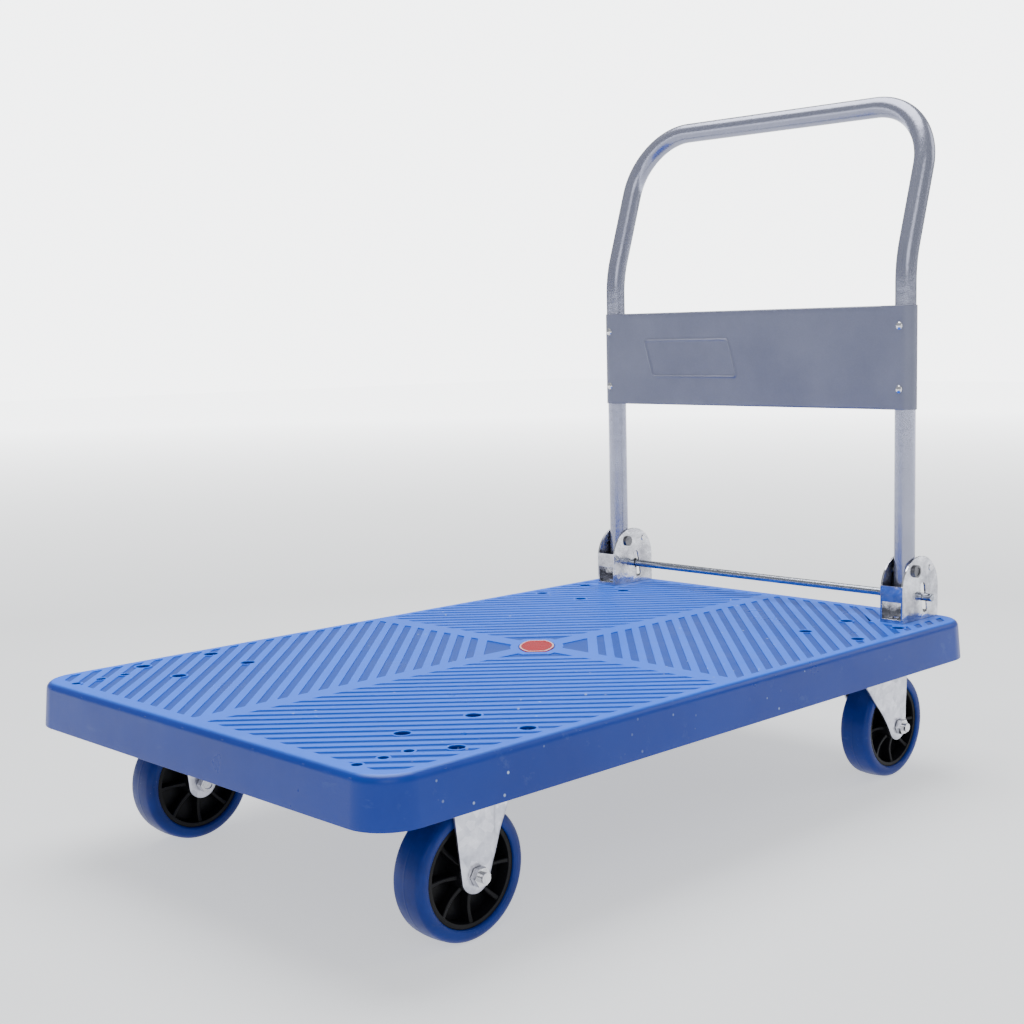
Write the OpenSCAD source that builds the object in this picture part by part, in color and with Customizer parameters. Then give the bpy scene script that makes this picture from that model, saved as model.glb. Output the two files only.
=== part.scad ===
// Folding platform cart: moulded deck, spring-locked folding handle, two fixed and two swivel casters.
// +X runs from the fixed casters towards the handle, +Y to the left of a person pushing, +Z up.
// The origin is on the floor, under the centre of the deck.

/* [Deck] */
// Length of the deck along X
deck_l = 900; // [760:1:1200]
// Width of the deck along Y
deck_w = 580; // [500:1:760]
// Height of the deck from the foot of its skirt to its top
deck_h = 45.5; // [40:0.5:60]
// Radius of the deck's corners in plan, at the foot of the skirt
deck_corner_r = 42; // [25:1:60]
// Radius of the deck's upper edge
deck_edge_r = 8; // [4:0.5:12]
// How far the foot of the skirt stands out past its top
deck_draft = 3; // [1:0.5:5]
// Thickness of the deck's top skin
skin_t = 5; // [4:0.5:8]
// Thickness of the skirt wall
skirt_t = 4.5; // [3.5:0.5:7]
// Thickness of the ribs under the deck
rib_t = 3.2; // [2:0.1:5]
// How far the ribs stop above the foot of the skirt
rib_recess = 4; // [2:0.5:10]

/* [Deck top pattern] */
// Distance between grooves, measured along X
groove_pitch = 24; // [20:1:40]
// Distance from the middle of the deck to the first groove, measured along X
groove_start = 102; // [96:1:130]
// Width of a groove
groove_w = 8.8; // [6:0.1:12]
// Depth of a groove
groove_depth = 1.2; // [0.6:0.1:2]
// Plain border along the ends of the deck
end_border = 22; // [15:1:40]
// Plain border along the sides of the deck
side_border = 17; // [14:1:40]
// Width of the plain cross in the middle of the deck
cross_w = 22; // [16:1:40]
// Length of the oval badge
badge_l = 64; // [40:1:70]
// Width of the oval badge
badge_w = 39; // [24:1:44]
// Angle between the badge's length and the deck's
badge_turn = 45; // [0:5:90]
// Thickness of the badge
badge_t = 1.4; // [1:0.1:2]

/* [Casters] */
// Height from the floor to the top of a caster's plate
caster_h = 160; // [150:1:200]
// How far the casters' seats lie above the foot of the skirt
seat_recess = 20; // [14:0.5:24]
// Distance from the middle of the deck to the middle of a caster plate, along X
caster_x = 298; // [280:1:320]
// Distance from the middle of the deck to the middle of a caster plate, along Y
caster_y = 218; // [190:1:225]
// Bolt spacing of the caster plates along X
bolt_span_x = 83; // [76:1:90]
// Bolt spacing of the caster plates along Y
bolt_span_y = 72; // [66:1:76]
// Length of a caster plate
plate_l = 108; // [100:1:116]
// Width of a caster plate
plate_w = 94; // [88:1:100]
// Thickness of a caster plate
plate_t = 3; // [2.5:0.5:5]
// How far the fixed casters' axles lie ahead of their plates
fixed_lead = 12; // [0:1:20]
// How far the swivel casters' axles trail behind their kingpins
swivel_trail = 62; // [40:1:66]
// Thickness of the forks' sheet steel
fork_t = 2.6; // [2:0.1:4]
// Diameter of the wheels
wheel_d = 125; // [110:1:130]
// Width of the tyres
wheel_w = 38; // [30:1:42]
// Diameter of the wheel centres, inside the tyres
hub_d = 98.6; // [90:1:100]
// Width of the wheel centres over their bosses
boss_w = 44; // [42:1:48]
// Diameter of the axle bolts
axle_d = 10; // [8:1:12]
// Outer diameter of the axle sleeves
sleeve_d = 14; // [13:0.5:16]
// Diameter of the kingpins
kingpin_d = 12; // [10:1:14]
// Diameter of the balls in the swivels
ball_d = 5.4; // [4.4:0.1:6]
// Radius of the ring that the balls run on
ball_ring_r = 24; // [20:1:28]
// Number of balls in a swivel
ball_count = 16; // [10:1:20]

/* [Handle] */
// Outer diameter of the handle tube
tube_d = 25; // [22:1:28]
// Wall of the handle tube
tube_t = 1.5; // [1.2:0.1:2.5]
// Distance from the middle of the cart to the middle of a leg, along Y
leg_y = 232; // [200:1:240]
// Distance from the middle of the deck to the pivot, along X
pivot_x = 387; // [340:1:395]
// Height of the pivot above the deck
pivot_up = 60; // [56:1:66]
// Height of the top bar's centre above the deck
handle_h = 614.5; // [560:0.5:800]
// Height above the deck at which the legs start to bend back
bend_start = 400; // [380:1:420]
// Angle by which the upper part of the handle leans back
lean = 18; // [8:1:18]
// Bend radius where the legs lean back
lean_r = 150; // [100:1:180]
// Bend radius of the handle's shoulders
shoulder_r = 82; // [60:1:100]
// Height above the deck of the lower edge of the panel
panel_foot = 251.5; // [230:0.5:260]
// Height of the panel
panel_h = 122; // [80:1:140]
// Thickness of the panel's sheet
panel_t = 1.2; // [0.8:0.1:2]
// Depth of the flanges along the panel's upper and lower edges
panel_flange = 9; // [6:1:14]
// Distance of the panel's screws from its upper and lower edges
screw_inset = 24; // [16:1:30]
// Length of the frame embossed on the panel
frame_l = 146; // [100:1:160]
// Height of the frame embossed on the panel
frame_h = 51; // [30:1:60]

/* [Hinge brackets] */
// Length of a bracket along X
bracket_l = 78; // [74:1:84]
// Thickness of a bracket's sheet steel
bracket_t = 2.5; // [2:0.1:3.5]
// Clearance between a leg and each ear of its bracket
ear_gap = 0.6; // [0.4:0.1:1.5]
// Distance from the pivot back to the middle of the bracket
bracket_back = 11; // [8:1:14]
// Height of the lower edge of the bridge across a bracket's front
bridge_foot = 25; // [20:1:30]
// Height of the bridge
bridge_h = 19; // [12:1:19]
// Diameter of the pivot pins
pivot_d = 10; // [8:1:12]
// Radius that the ends of the legs sweep about the pivot
stub_r = 24.5; // [20:0.5:26]
// How far below the pivot the ears' round tops are centred
arch_drop = 22; // [18:1:26]

/* [Lock] */
// Diameter of the lock rod
rod_d = 9.5; // [8:0.5:11]
// How far the lock rod stands out past the outer ears
rod_proud = 12; // [8:1:16]
// Height of the lock rod above the deck
rod_up = 27; // [25:1:30]
// How far the lock rod lies behind the pivot
rod_back = 18.5; // [17:0.5:22]
// Travel of the lock rod, down its slots
rod_travel = 14; // [8:1:15]
// Lean of the slots away from upright
slot_lean = 10.5; // [0:0.5:12]
// How far the slots reach above the rod at rest
slot_over = 13; // [6:1:14]
// Outer diameter of the springs
spring_d = 8; // [6:0.5:9]
// Thickness of the springs' wire
spring_wire = 1.3; // [0.8:0.1:1.6]

/* [Fasteners] */
// Diameter of the bolts that hold brackets and casters
bolt_d = 8; // [6:1:8]
// Width of the nuts across their flats
nut_af = 13; // [10:1:13]
// Height of the nuts
nut_h = 6.5; // [5:0.5:8]
// Diameter of the washers
washer_d = 17; // [14:1:18]
// Thickness of the washers
washer_t = 1.6; // [1:0.1:2]
// Diameter of the bolts' low round heads
head_d = 13; // [11:1:14]
// Height of the bolts' heads
head_h = 4.2; // [3:0.1:6]
// Diameter of the holes for the bracket bolts
hole_d = 9.5; // [9:0.5:11]
// Distance between the outer holes of each row of three
row_span = 54; // [50:1:58]
// Distance from the middle of the deck to the middle hole of a row
row_x = 400; // [380:1:410]

/* [Hidden] */
$fn = 48;
running = 0.06;        // radial clearance of a running fit
slip = 0.25;           // radial clearance of a bolt in its hole
seam = 0.1;            // gap left between round faces that are bonded or pressed
free = 0.3;            // gap between pieces that move past each other
through = 1;           // how far a cutter runs past the face it cuts

deck_z = caster_h - seat_recess;         // foot of the skirt
top_z = deck_z + deck_h;                 // top of the deck
axle_z = wheel_d / 2;
plate_z = caster_h - plate_t;            // underside of the caster plates
fork_in = boss_w / 2 + 1;                // half the gap between a fork's legs
fork_out = fork_in + fork_t;
pivot_z = top_z + pivot_up;
rod_x = pivot_x + rod_back;
rod_z = top_z + rod_up;
tube_r = tube_d / 2;
ear_in = tube_r + ear_gap;               // half the gap between the ears
ear_out = ear_in + bracket_t;
bracket_x = pivot_x + bracket_back;      // middle of the bracket
arch_r = bracket_l / 2;
arch_z = pivot_z - arch_drop;            // centre of the arch on each ear
panel_z = top_z + panel_foot;
leg_bend_z = top_z + bend_start;
top_bar_z = top_z + handle_h;
lean_x = lean_r * (1 - cos(lean));       // how far back the lower bend carries the leg
lean_z = lean_r * sin(lean);             // how high the lower bend reaches
slope_l = (top_bar_z - leg_bend_z - lean_z) / cos(lean) - shoulder_r;  // straight part of the slope
joint_gap = 0.2;                         // end gap of each straight length of the handle tube
joint_lip = 0.1;                         // how far the rings that join the lengths stand proud
stub_drop = sqrt(stub_r * stub_r - tube_r * tube_r);  // how far the legs reach below the pivot
screw_zs = [panel_z + screw_inset, panel_z + panel_h - screw_inset];
frame_low = 8;                           // where the embossed frame's lower side starts, off the middle
frame_slant = 15;                        // how far the frame's upper side is shifted
frame_line = 2;                          // width of the frame's line
foot_r = 17;                             // round foot of a fork's leg, about the axle
cell_y = 112;                            // middle row of the ribs beside the caster seats
ring_r = 17;                             // ring under the middle of the deck
rib_ys = [-248, -185, -112, -65, 0, 65, 112, 185, 248];
rib_xs = [-379, -190, -62, 62, 190, 379];
pad_l = plate_l + 8;                     // pads that the caster plates bear on
pad_w = plate_w + 6;
pad_t = 6;
pocket_r = 66;                           // room round a kingpin for the fork's crown
crown_t = 3;                             // sheet of the swivel fork's crown
crown_z = plate_z - free - ball_d - free - crown_t;   // underside of the fork's crown
crown_r = 34;
cap_t = 3;                               // lower race of the swivel
spring_pin_x = pivot_x + 33;             // just inside the ears' rear edge
spring_pin_z = pivot_z + 1;
spring_pin_d = 5;
recess_end = groove_start - 21;          // base of the recesses beside the badge
badge_margin = 10;                       // plain ring round the badge

// ---- shared shapes ----

// A disc along Y, centred on y, of a given width.
module disc_y(r, y, w) translate([0, y + w / 2, 0]) rotate([90, 0, 0]) cylinder(r = r, h = w);

// A washer lying flat, its underside at z = 0.
module flat_ring(r_out, r_in, h) {
    difference() {
        cylinder(r = r_out, h = h);
        translate([0, 0, -through]) cylinder(r = r_in, h = h + 2 * through);
    }
}

module hex_nut(af, h, bore_r) {
    difference() {
        cylinder(r = af / sqrt(3), h = h, $fn = 6);
        translate([0, 0, -through]) cylinder(r = bore_r, h = h + 2 * through);
    }
}

// Right half of a slab's edge: up a drafted wall and round the upper edge.
function edge_side(reach, h, r) =
    let (in = reach - deck_draft)
    concat([[reach, 0]], [for (a = [0:15:90]) [in - r + r * cos(a), h - r + r * sin(a)]]);

function mirrored(side) = [for (i = [len(side) - 1:-1:0]) [-side[i][0], side[i][1]]];

// A slab with drafted walls, round corners and a round upper edge, standing on z = 0.
module slab(l, w, h, corner, r) {
    long = l / 2 - corner;
    wide = w / 2 - corner;
    section_x = edge_side(l / 2, h, r);
    section_y = edge_side(w / 2, h, r);
    translate([-long, 0, 0]) rotate([90, 0, 90]) linear_extrude(2 * long)
        polygon(concat(section_y, mirrored(section_y)));
    translate([0, wide, 0]) rotate([90, 0, 0]) linear_extrude(2 * wide)
        polygon(concat(section_x, mirrored(section_x)));
    for (x = [-long, long], y = [-wide, wide])
        translate([x, y, 0]) rotate_extrude()
            polygon(concat([[0, 0]], edge_side(corner, h, r), [[0, h]]));
}

module each_corner() for (x = [-1, 1], y = [-1, 1]) mirror([x < 0 ? 1 : 0, 0, 0])
    mirror([0, y < 0 ? 1 : 0, 0]) children();

module each_caster_bolt() for (x = [-1, 1], y = [-1, 1])
    translate([caster_x + x * bolt_span_x / 2, caster_y + y * bolt_span_y / 2, 0]) children();

module each_row_hole() for (x = [-1, 0, 1]) translate([row_x + x * row_span / 2, leg_y, 0]) children();

module each_bracket_bolt() for (x = [-1, 1], y = [-1, 1])
    translate([row_x + x * row_span / 2, y * leg_y, 0]) children();

// ---- deck ----

// Plan of the ribs under the deck: a lattice, diagonals to the caster seats, and fans round the holes.
module rib_plan() {
    reach_x = deck_l / 2 - (skirt_t + deck_draft) / 2;
    reach_y = deck_w / 2 - (skirt_t + deck_draft) / 2;
    for (y = rib_ys) translate([-reach_x, y - rib_t / 2]) square([2 * reach_x, rib_t]);
    for (x = rib_xs) translate([x - rib_t / 2, -reach_y]) square([rib_t, 2 * reach_y]);
    for (x = [-caster_x - 9, 75 - caster_x, caster_x - 75, caster_x + 9], y = [-1, 1])
        translate([x - rib_t / 2, y > 0 ? cell_y : -reach_y])
            square([rib_t, reach_y - cell_y]);
    seat = [caster_x - plate_l / 2, caster_y - plate_w / 2];
    for (x = [-1, 1], y = [-1, 1]) rotate(atan2(y * seat[1], x * seat[0]))
        translate([0, -rib_t / 2]) square([norm(seat), rib_t]);
    for (x = [-1, 1], y = [-1, 1], a = [20, 55, 90, 125, 160, 200, 235, 270, 305, 340])
        translate([x * row_x, y * leg_y]) rotate(a) translate([0, -rib_t / 2])
            square([abs(sin(a)) > 0.5 ? 46 : 34, rib_t]);
    circle(r = ring_r);
}

// Plan of the pattern in one quarter: bands across it at 45 degrees, and a recess beside the badge.
module groove_plan(x_end, y_end) {
    edge = cross_w / 2;
    half = groove_w / sqrt(2);
    intersection() {
        translate([edge, edge]) square([x_end - edge, y_end - edge]);
        union() {
            for (c = [groove_start:groove_pitch:x_end + y_end - groove_w])
                polygon([[c - half, 0], [c + half, 0], [0, c + half], [0, c - half]]);
            difference() {
                polygon([[0, 0], [recess_end, 0], [0, recess_end]]);
                rotate(badge_turn) badge_plan(badge_l + 2 * badge_margin, badge_w + 2 * badge_margin);
            }
        }
    }
}

module deck() color("royalblue") translate([0, 0, deck_z]) difference() {
    union() {
        difference() {
            slab(deck_l, deck_w, deck_h, deck_corner_r, deck_edge_r);
            translate([0, 0, -through]) slab(deck_l - 2 * skirt_t, deck_w - 2 * skirt_t,
                deck_h - skin_t + through, deck_corner_r - skirt_t, deck_edge_r - skirt_t / 2);
            for (x = [0, 1], y = [0, 1]) translate([0, 0, deck_h - groove_depth])
                linear_extrude(groove_depth + through) mirror([x, 0]) mirror([0, y])
                    groove_plan(deck_l / 2 - end_border, deck_w / 2 - side_border);
        }
        // Plain pads that the hinge brackets stand on.
        for (y = [-1, 1]) translate([bracket_x - bracket_l / 2 - 8, y * leg_y - ear_out - 10,
                deck_h - skin_t + 1])
            cube([bracket_l + 16, 2 * ear_out + 20, skin_t - 1]);
        difference() {
            translate([0, 0, rib_recess]) linear_extrude(deck_h - skin_t - rib_recess + 1) rib_plan();
            // Room for each caster's plate, for its swivel, and inside the ring.
            each_corner() {
                translate([caster_x - pad_l / 2, caster_y - pad_w / 2, -through])
                    cube([pad_l, pad_w, seat_recess + through]);
                translate([caster_x, caster_y, -through]) cylinder(r = pocket_r, h = seat_recess + through);
            }
            translate([0, 0, -through]) cylinder(r = ring_r - rib_t, h = deck_h - skin_t + through);
            // Room for the washers and nuts of the bracket bolts.
            each_corner() each_row_hole() translate([0, 0, -through])
                cylinder(r = washer_d / 2 + 1, h = seat_recess + through);
        }
        each_corner() {
            translate([caster_x - pad_l / 2, caster_y - pad_w / 2, seat_recess]) cube([pad_l, pad_w, pad_t]);
            each_caster_bolt() translate([0, 0, seat_recess])
                cylinder(r = head_d / 2 + 5, h = deck_h - skin_t - seat_recess + 1);
            each_row_hole() translate([0, 0, seat_recess])
                cylinder(r = hole_d / 2 + 4.5, h = deck_h - skin_t - seat_recess + 1);
        }
    }
    each_corner() {
        // Caster bolts: a well from the top for the head, then the shank's hole.
        each_caster_bolt() {
            translate([0, 0, seat_recess + pad_t]) cylinder(r = head_d / 2 + 1, h = deck_h);
            translate([0, 0, -through]) cylinder(r = bolt_d / 2 + slip, h = deck_h);
        }
        each_row_hole() translate([0, 0, -through]) cylinder(r = hole_d / 2, h = deck_h + 2 * through);
    }
    // Shallow oval seat for the badge.
    translate([0, 0, deck_h - badge_t / 2]) rotate(badge_turn) linear_extrude(badge_t)
        badge_plan(badge_l + 2 * seam, badge_w + 2 * seam);
}

// An oval made of two wide arcs, its ends cut straight.
module badge_plan(l, w) {
    end_w = w * 0.38;
    flank_r = (l * l + w * w - end_w * end_w) / 4 / (w - end_w);
    intersection() {
        translate([0, w / 2 - flank_r]) circle(r = flank_r, $fn = 96);
        translate([0, flank_r - w / 2]) circle(r = flank_r, $fn = 96);
        square([l, w], center = true);
    }
}

module badge() color("crimson") translate([0, 0, top_z - badge_t / 2]) rotate(badge_turn)
    linear_extrude(badge_t) badge_plan(badge_l, badge_w);

// ---- hinge brackets ----

module ear_outline() {
    translate([-arch_r, 0]) square([bracket_l, arch_z - top_z]);
    intersection() {
        translate([0, arch_z - top_z]) circle(r = arch_r, $fn = 96);
        translate([-arch_r, arch_z - top_z - 1]) square([bracket_l, arch_r + 2]);
    }
}

// The path that the lock rod's centre follows, from above its rest down to the end of its travel.
module slot_cut(w) {
    translate([rod_x, 0, rod_z]) rotate([0, -slot_lean, 0]) {
        translate([0, 0, slot_over]) disc_y(rod_d / 2 + free, 0, w);
        translate([0, 0, -rod_travel - free]) disc_y(rod_d / 2 + free, 0, w);
        translate([-rod_d / 2 - free, -w / 2, -rod_travel - free])
            cube([rod_d + 2 * free, w, rod_travel + free + slot_over]);
    }
}

module bracket(y) color("gainsboro") translate([0, y, 0]) difference() {
    union() {
        translate([bracket_x - arch_r, -ear_out, top_z]) cube([bracket_l, 2 * ear_out, bracket_t]);
        for (side = [-ear_out, ear_in])
            translate([bracket_x, side + bracket_t, top_z]) rotate([90, 0, 0])
                linear_extrude(bracket_t) ear_outline();
        translate([bracket_x - arch_r, -ear_out, top_z + bridge_foot])
            cube([bracket_t, 2 * ear_out, bridge_h]);
        translate([bracket_x - arch_r, -ear_out, top_z]) cube([bracket_t, 2 * ear_out, bracket_t + 2]);
    }
    translate([pivot_x, 0, pivot_z]) disc_y(pivot_d / 2 + seam / 2, 0, 3 * ear_out);
    slot_cut(3 * ear_out);
    translate([spring_pin_x, 0, spring_pin_z]) disc_y(spring_pin_d / 2 + seam / 2, 0, 3 * ear_out);
    for (x = [-1, 1]) translate([row_x + x * row_span / 2, 0, top_z - through])
        cylinder(r = bolt_d / 2 + slip, h = bracket_t + 2 * through);
}

module bracket_bolts() color("silver") each_bracket_bolt() translate([0, 0, top_z + bracket_t])
    headed_bolt(bracket_t + deck_h - seat_recess + washer_t + nut_h + 2);

// A low round head standing on z = 0 with its shank below.
module headed_bolt(shank) {
    difference() {
        cylinder(r = head_d / 2, h = head_h);
        translate([0, 0, head_h / 2]) cylinder(r = head_d / 4, h = head_h, $fn = 6);
    }
    translate([0, 0, -shank]) cylinder(r = bolt_d / 2, h = shank + head_h / 4);
}

module bracket_washers() color("silver") each_bracket_bolt()
    translate([0, 0, deck_z + seat_recess - washer_t]) flat_ring(washer_d / 2, bolt_d / 2 + slip, washer_t);

module bracket_nuts() color("silver") each_bracket_bolt()
    translate([0, 0, deck_z + seat_recess - washer_t - nut_h]) hex_nut(nut_af, nut_h, bolt_d / 2 + running);

module pivot_pin(y, out) color("silver") translate([pivot_x, y, pivot_z]) {
    disc_y(pivot_d / 2, 0, 2 * ear_out + 2);
    difference() {
        disc_y(7.5, out * (ear_out + 1.5), 3);
        disc_y(5, out * (ear_out + 3), 2);
    }
    disc_y(7, -out * (ear_out + 1.25), 2.5);
}

// ---- handle ----

module tube_section(grow = 0) difference() {
    circle(r = tube_r + grow);
    circle(r = tube_r - tube_t - grow);
}

// A straight length of tube from z = 0, stopping a hair short at each end, where a thin ring joins it.
module straight(l) {
    translate([0, 0, joint_gap]) linear_extrude(l - 2 * joint_gap) tube_section();
    translate([0, 0, l - 0.5]) linear_extrude(1) tube_section(joint_lip);
}

module elbow(bend_r, a) rotate_extrude(angle = a) translate([bend_r, 0]) tube_section();

module leg(side) translate([pivot_x, side * leg_y, 0]) difference() {
    translate([0, 0, pivot_z - stub_drop - joint_gap])
        straight(leg_bend_z - pivot_z + stub_drop + joint_gap);
    translate([0, 0, pivot_z]) disc_y(pivot_d / 2 + running, 0, tube_d + 2);
    for (z = screw_zs) translate([-tube_d, 0, z]) rotate([0, 90, 0]) cylinder(r = 2 + running, h = tube_d);
}

module handle_tube() color("lightslategray") {
    for (side = [-1, 1]) {
        leg(side);
        translate([pivot_x + lean_r, side * leg_y, leg_bend_z]) rotate([90, 0, 0]) mirror([1, 0, 0])
            elbow(lean_r, lean);
        translate([pivot_x + lean_x, side * leg_y, leg_bend_z + lean_z]) rotate([0, lean, 0]) {
            translate([0, 0, -0.5]) linear_extrude(1) tube_section(joint_lip);
            straight(slope_l);
            translate([0, -side * shoulder_r, slope_l]) rotate([90, 0, 90])
                rotate([0, 0, side > 0 ? 0 : 90]) elbow(shoulder_r, 90);
        }
    }
    half_bar = leg_y - shoulder_r;
    translate([pivot_x + lean_x, 0, leg_bend_z + lean_z]) rotate([0, lean, 0])
        translate([0, half_bar, slope_l + shoulder_r]) rotate([90, 0, 0]) {
            translate([0, 0, -0.5]) linear_extrude(1) tube_section(joint_lip);
            straight(2 * half_bar);
        }
}

// Plastic plugs pushed into the lower ends of the legs.
module leg_plugs() color("dimgray") for (y = [-leg_y, leg_y])
    translate([pivot_x, y, pivot_z - stub_drop]) {
        cylinder(r = tube_r - tube_t - seam, h = 6);
        translate([0, 0, -1]) cylinder(r = tube_r - 3, h = 1.2);
    }

// The panel's plan: a flat sheet in front of the legs with ends wrapped round them.
module panel_plan() {
    wrap_in = tube_r + seam;
    translate([pivot_x - wrap_in - panel_t, -leg_y]) square([panel_t, 2 * leg_y]);
    for (side = [-1, 1]) intersection() {
        difference() {
            translate([pivot_x, side * leg_y]) circle(r = wrap_in + panel_t);
            translate([pivot_x, side * leg_y]) circle(r = wrap_in);
        }
        translate([pivot_x - 20, side > 0 ? leg_y : -leg_y - 20]) square([26, 20]);
    }
}

// Outline of the embossed frame, pulled in by some amount all round.
module frame_outline(pull) {
    tilt = frame_slant / frame_h;
    side = pull * sqrt(1 + tilt * tilt);
    polygon([[pull * tilt + side, pull], [frame_l + pull * tilt - side, pull],
        [frame_l + (frame_h - pull) * tilt - side, frame_h - pull],
        [(frame_h - pull) * tilt + side, frame_h - pull]]);
}

module handle_panel() color("gray") difference() {
    union() {
        translate([0, 0, panel_z]) linear_extrude(panel_h) panel_plan();
        // Flanges folded back along the upper and lower edges, stopping short of the legs.
        for (z = [panel_z, panel_z + panel_h - panel_t])
            translate([pivot_x - tube_r - seam - panel_t, -leg_y + tube_d, z])
                cube([panel_flange, 2 * (leg_y - tube_d), panel_t]);
        // Embossed frame.
        translate([pivot_x - tube_r - seam - panel_t + 0.2, 0, panel_z + 36])
            rotate([90, 0, -90]) mirror([1, 0, 0]) linear_extrude(1) translate([frame_low, 0]) difference() {
                frame_outline(0);
                frame_outline(frame_line);
            }
    }
    for (y = [-leg_y, leg_y], z = screw_zs)
        translate([pivot_x - tube_d, y, z]) rotate([0, 90, 0]) cylinder(r = 2 + running, h = tube_d);
}

module panel_screws() color("silver") for (y = [-leg_y, leg_y], z = screw_zs)
    translate([pivot_x - tube_r - seam - panel_t, y, z]) rotate([0, -90, 0]) {
        intersection() {
            translate([0, 0, -5]) sphere(r = 7.2);
            cylinder(r = 4.5, h = 4);
        }
        translate([0, 0, -9]) cylinder(r = 2, h = 9.5);
    }

// ---- lock ----

module lock_rod() color("silver") translate([rod_x, 0, rod_z]) {
    reach = leg_y + ear_out + rod_proud;
    disc_y(rod_d / 2, 0, 2 * reach - 2);
    disc_y(rod_d / 2 - 1, 0, 2 * reach);
}

// Clips on the rod, just inside the inner ears, that keep it from sliding sideways.
module rod_clips() color("dimgray") for (side = [-1, 1])
    translate([rod_x, side * (leg_y - ear_in + free + 0.5), rod_z]) difference() {
        disc_y(rod_d / 2 + 1.8, 0, 1);
        disc_y(rod_d / 2 + running, 0, 3);
    }

// A spring as a plain sleeve of its outer size, hung between its pin and the rod.
module lock_spring(y) color("dimgray") {
    low = [rod_x, rod_z];
    high = [spring_pin_x, spring_pin_z];
    run = norm(high - low);
    ends = rod_d / 2 + free + 0.3;
    translate([low[0], y, low[1]]) rotate([0, atan2(high[0] - low[0], high[1] - low[1]), 0])
        translate([0, 0, ends]) flat_ring(spring_d / 2, spring_d / 2 - spring_wire,
            run - ends - spring_pin_d / 2 - 2 * free);
}

module spring_pins() color("silver") for (y = [-leg_y, leg_y])
    translate([spring_pin_x, y, spring_pin_z]) {
        disc_y(spring_pin_d / 2, 0, 2 * ear_out + 1);
        for (side = [-1, 1]) disc_y(spring_pin_d / 2 + 1.4, side * (ear_out + 0.6), 1.2);
    }

// ---- casters ----

module caster_bolts() color("silver") each_corner() each_caster_bolt()
    translate([0, 0, deck_z + seat_recess + pad_t]) headed_bolt(pad_t + plate_t + washer_t + nut_h + 2);

module caster_washers() color("silver") each_corner() each_caster_bolt()
    translate([0, 0, plate_z - washer_t]) flat_ring(washer_d / 2 - 2, bolt_d / 2 + slip, washer_t);

module caster_nuts() color("silver") each_corner() each_caster_bolt()
    translate([0, 0, plate_z - washer_t - nut_h]) hex_nut(nut_af, nut_h, bolt_d / 2 + running);

// A plate with round corners and four bolt holes, centred on the origin, its underside at z = 0.
module top_plate() difference() {
    corner = 8;
    union() {
        translate([-plate_l / 2, -plate_w / 2 + corner, 0]) cube([plate_l, plate_w - 2 * corner, plate_t]);
        translate([-plate_l / 2 + corner, -plate_w / 2, 0]) cube([plate_l - 2 * corner, plate_w, plate_t]);
        for (x = [-1, 1], y = [-1, 1])
            translate([x * (plate_l / 2 - corner), y * (plate_w / 2 - corner), 0])
                cylinder(r = corner, h = plate_t);
    }
    for (x = [-1, 1], y = [-1, 1]) translate([x * bolt_span_x / 2, y * bolt_span_y / 2, -through])
        cylinder(r = bolt_d / 2 + slip, h = plate_t + 2 * through);
}

// Where the line from a point meets a circle round the origin; turn picks which of the two.
function touch(p, r, turn) = let (a = atan2(p[1], p[0]) + turn * acos(r / norm(p))) [r * cos(a), r * sin(a)];

// Outline of a fork's leg about its axle: from a foot of radius r up to two top corners.
module leg_outline(r, points) {
    circle(r = r);
    polygon(concat([touch(points[0], r, 1), [0, 0], touch(points[len(points) - 1], r, -1)],
        [for (i = [len(points) - 1:-1:0]) points[i]]));
}

module fork_leg(side, r, points)
    translate([0, side > 0 ? fork_out : -fork_in, axle_z]) rotate([90, 0, 0])
        linear_extrude(fork_t) leg_outline(r, points);

module fork_bore() translate([0, 0, axle_z]) disc_y(axle_d / 2 + seam, 0, 3 * fork_out);

module front_fork(y) color("gainsboro") translate([-caster_x, y, 0]) {
    rise = plate_z + 1 - axle_z;
    difference() {
        union() {
            translate([0, 0, plate_z]) top_plate();
            translate([-fixed_lead, 0, 0]) for (side = [-1, 1])
                fork_leg(side, foot_r, [[-26, rise], [fixed_lead + 36, rise]]);
        }
        translate([-fixed_lead, 0, 0]) fork_bore();
    }
}

module rear_plate(y) color("gainsboro") translate([caster_x, y, 0]) difference() {
    translate([0, 0, plate_z]) top_plate();
    translate([0, 0, plate_z - through]) cylinder(r = kingpin_d / 2 + seam / 2, h = plate_t + 2 * through);
}

module rear_kingpin(y) color("silver") translate([caster_x, y, 0]) {
    translate([0, 0, crown_z - free - cap_t]) cylinder(r = kingpin_d / 2, h = caster_h - crown_z + free + cap_t);
    translate([0, 0, crown_z - free - cap_t - 4]) cylinder(r = kingpin_d / 2 + 5, h = 4);
}

module rear_race_cap(y) color("silver") translate([caster_x, y, crown_z - free - cap_t])
    flat_ring(ball_ring_r - 2, kingpin_d / 2 + seam / 2, cap_t);

module rear_balls(y) color("silver") for (i = [0:ball_count - 1])
    translate([caster_x, y, plate_z - free - ball_d / 2]) rotate([0, 0, i * 360 / ball_count])
        translate([ball_ring_r, 0, 0]) sphere(r = ball_d / 2);

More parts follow.
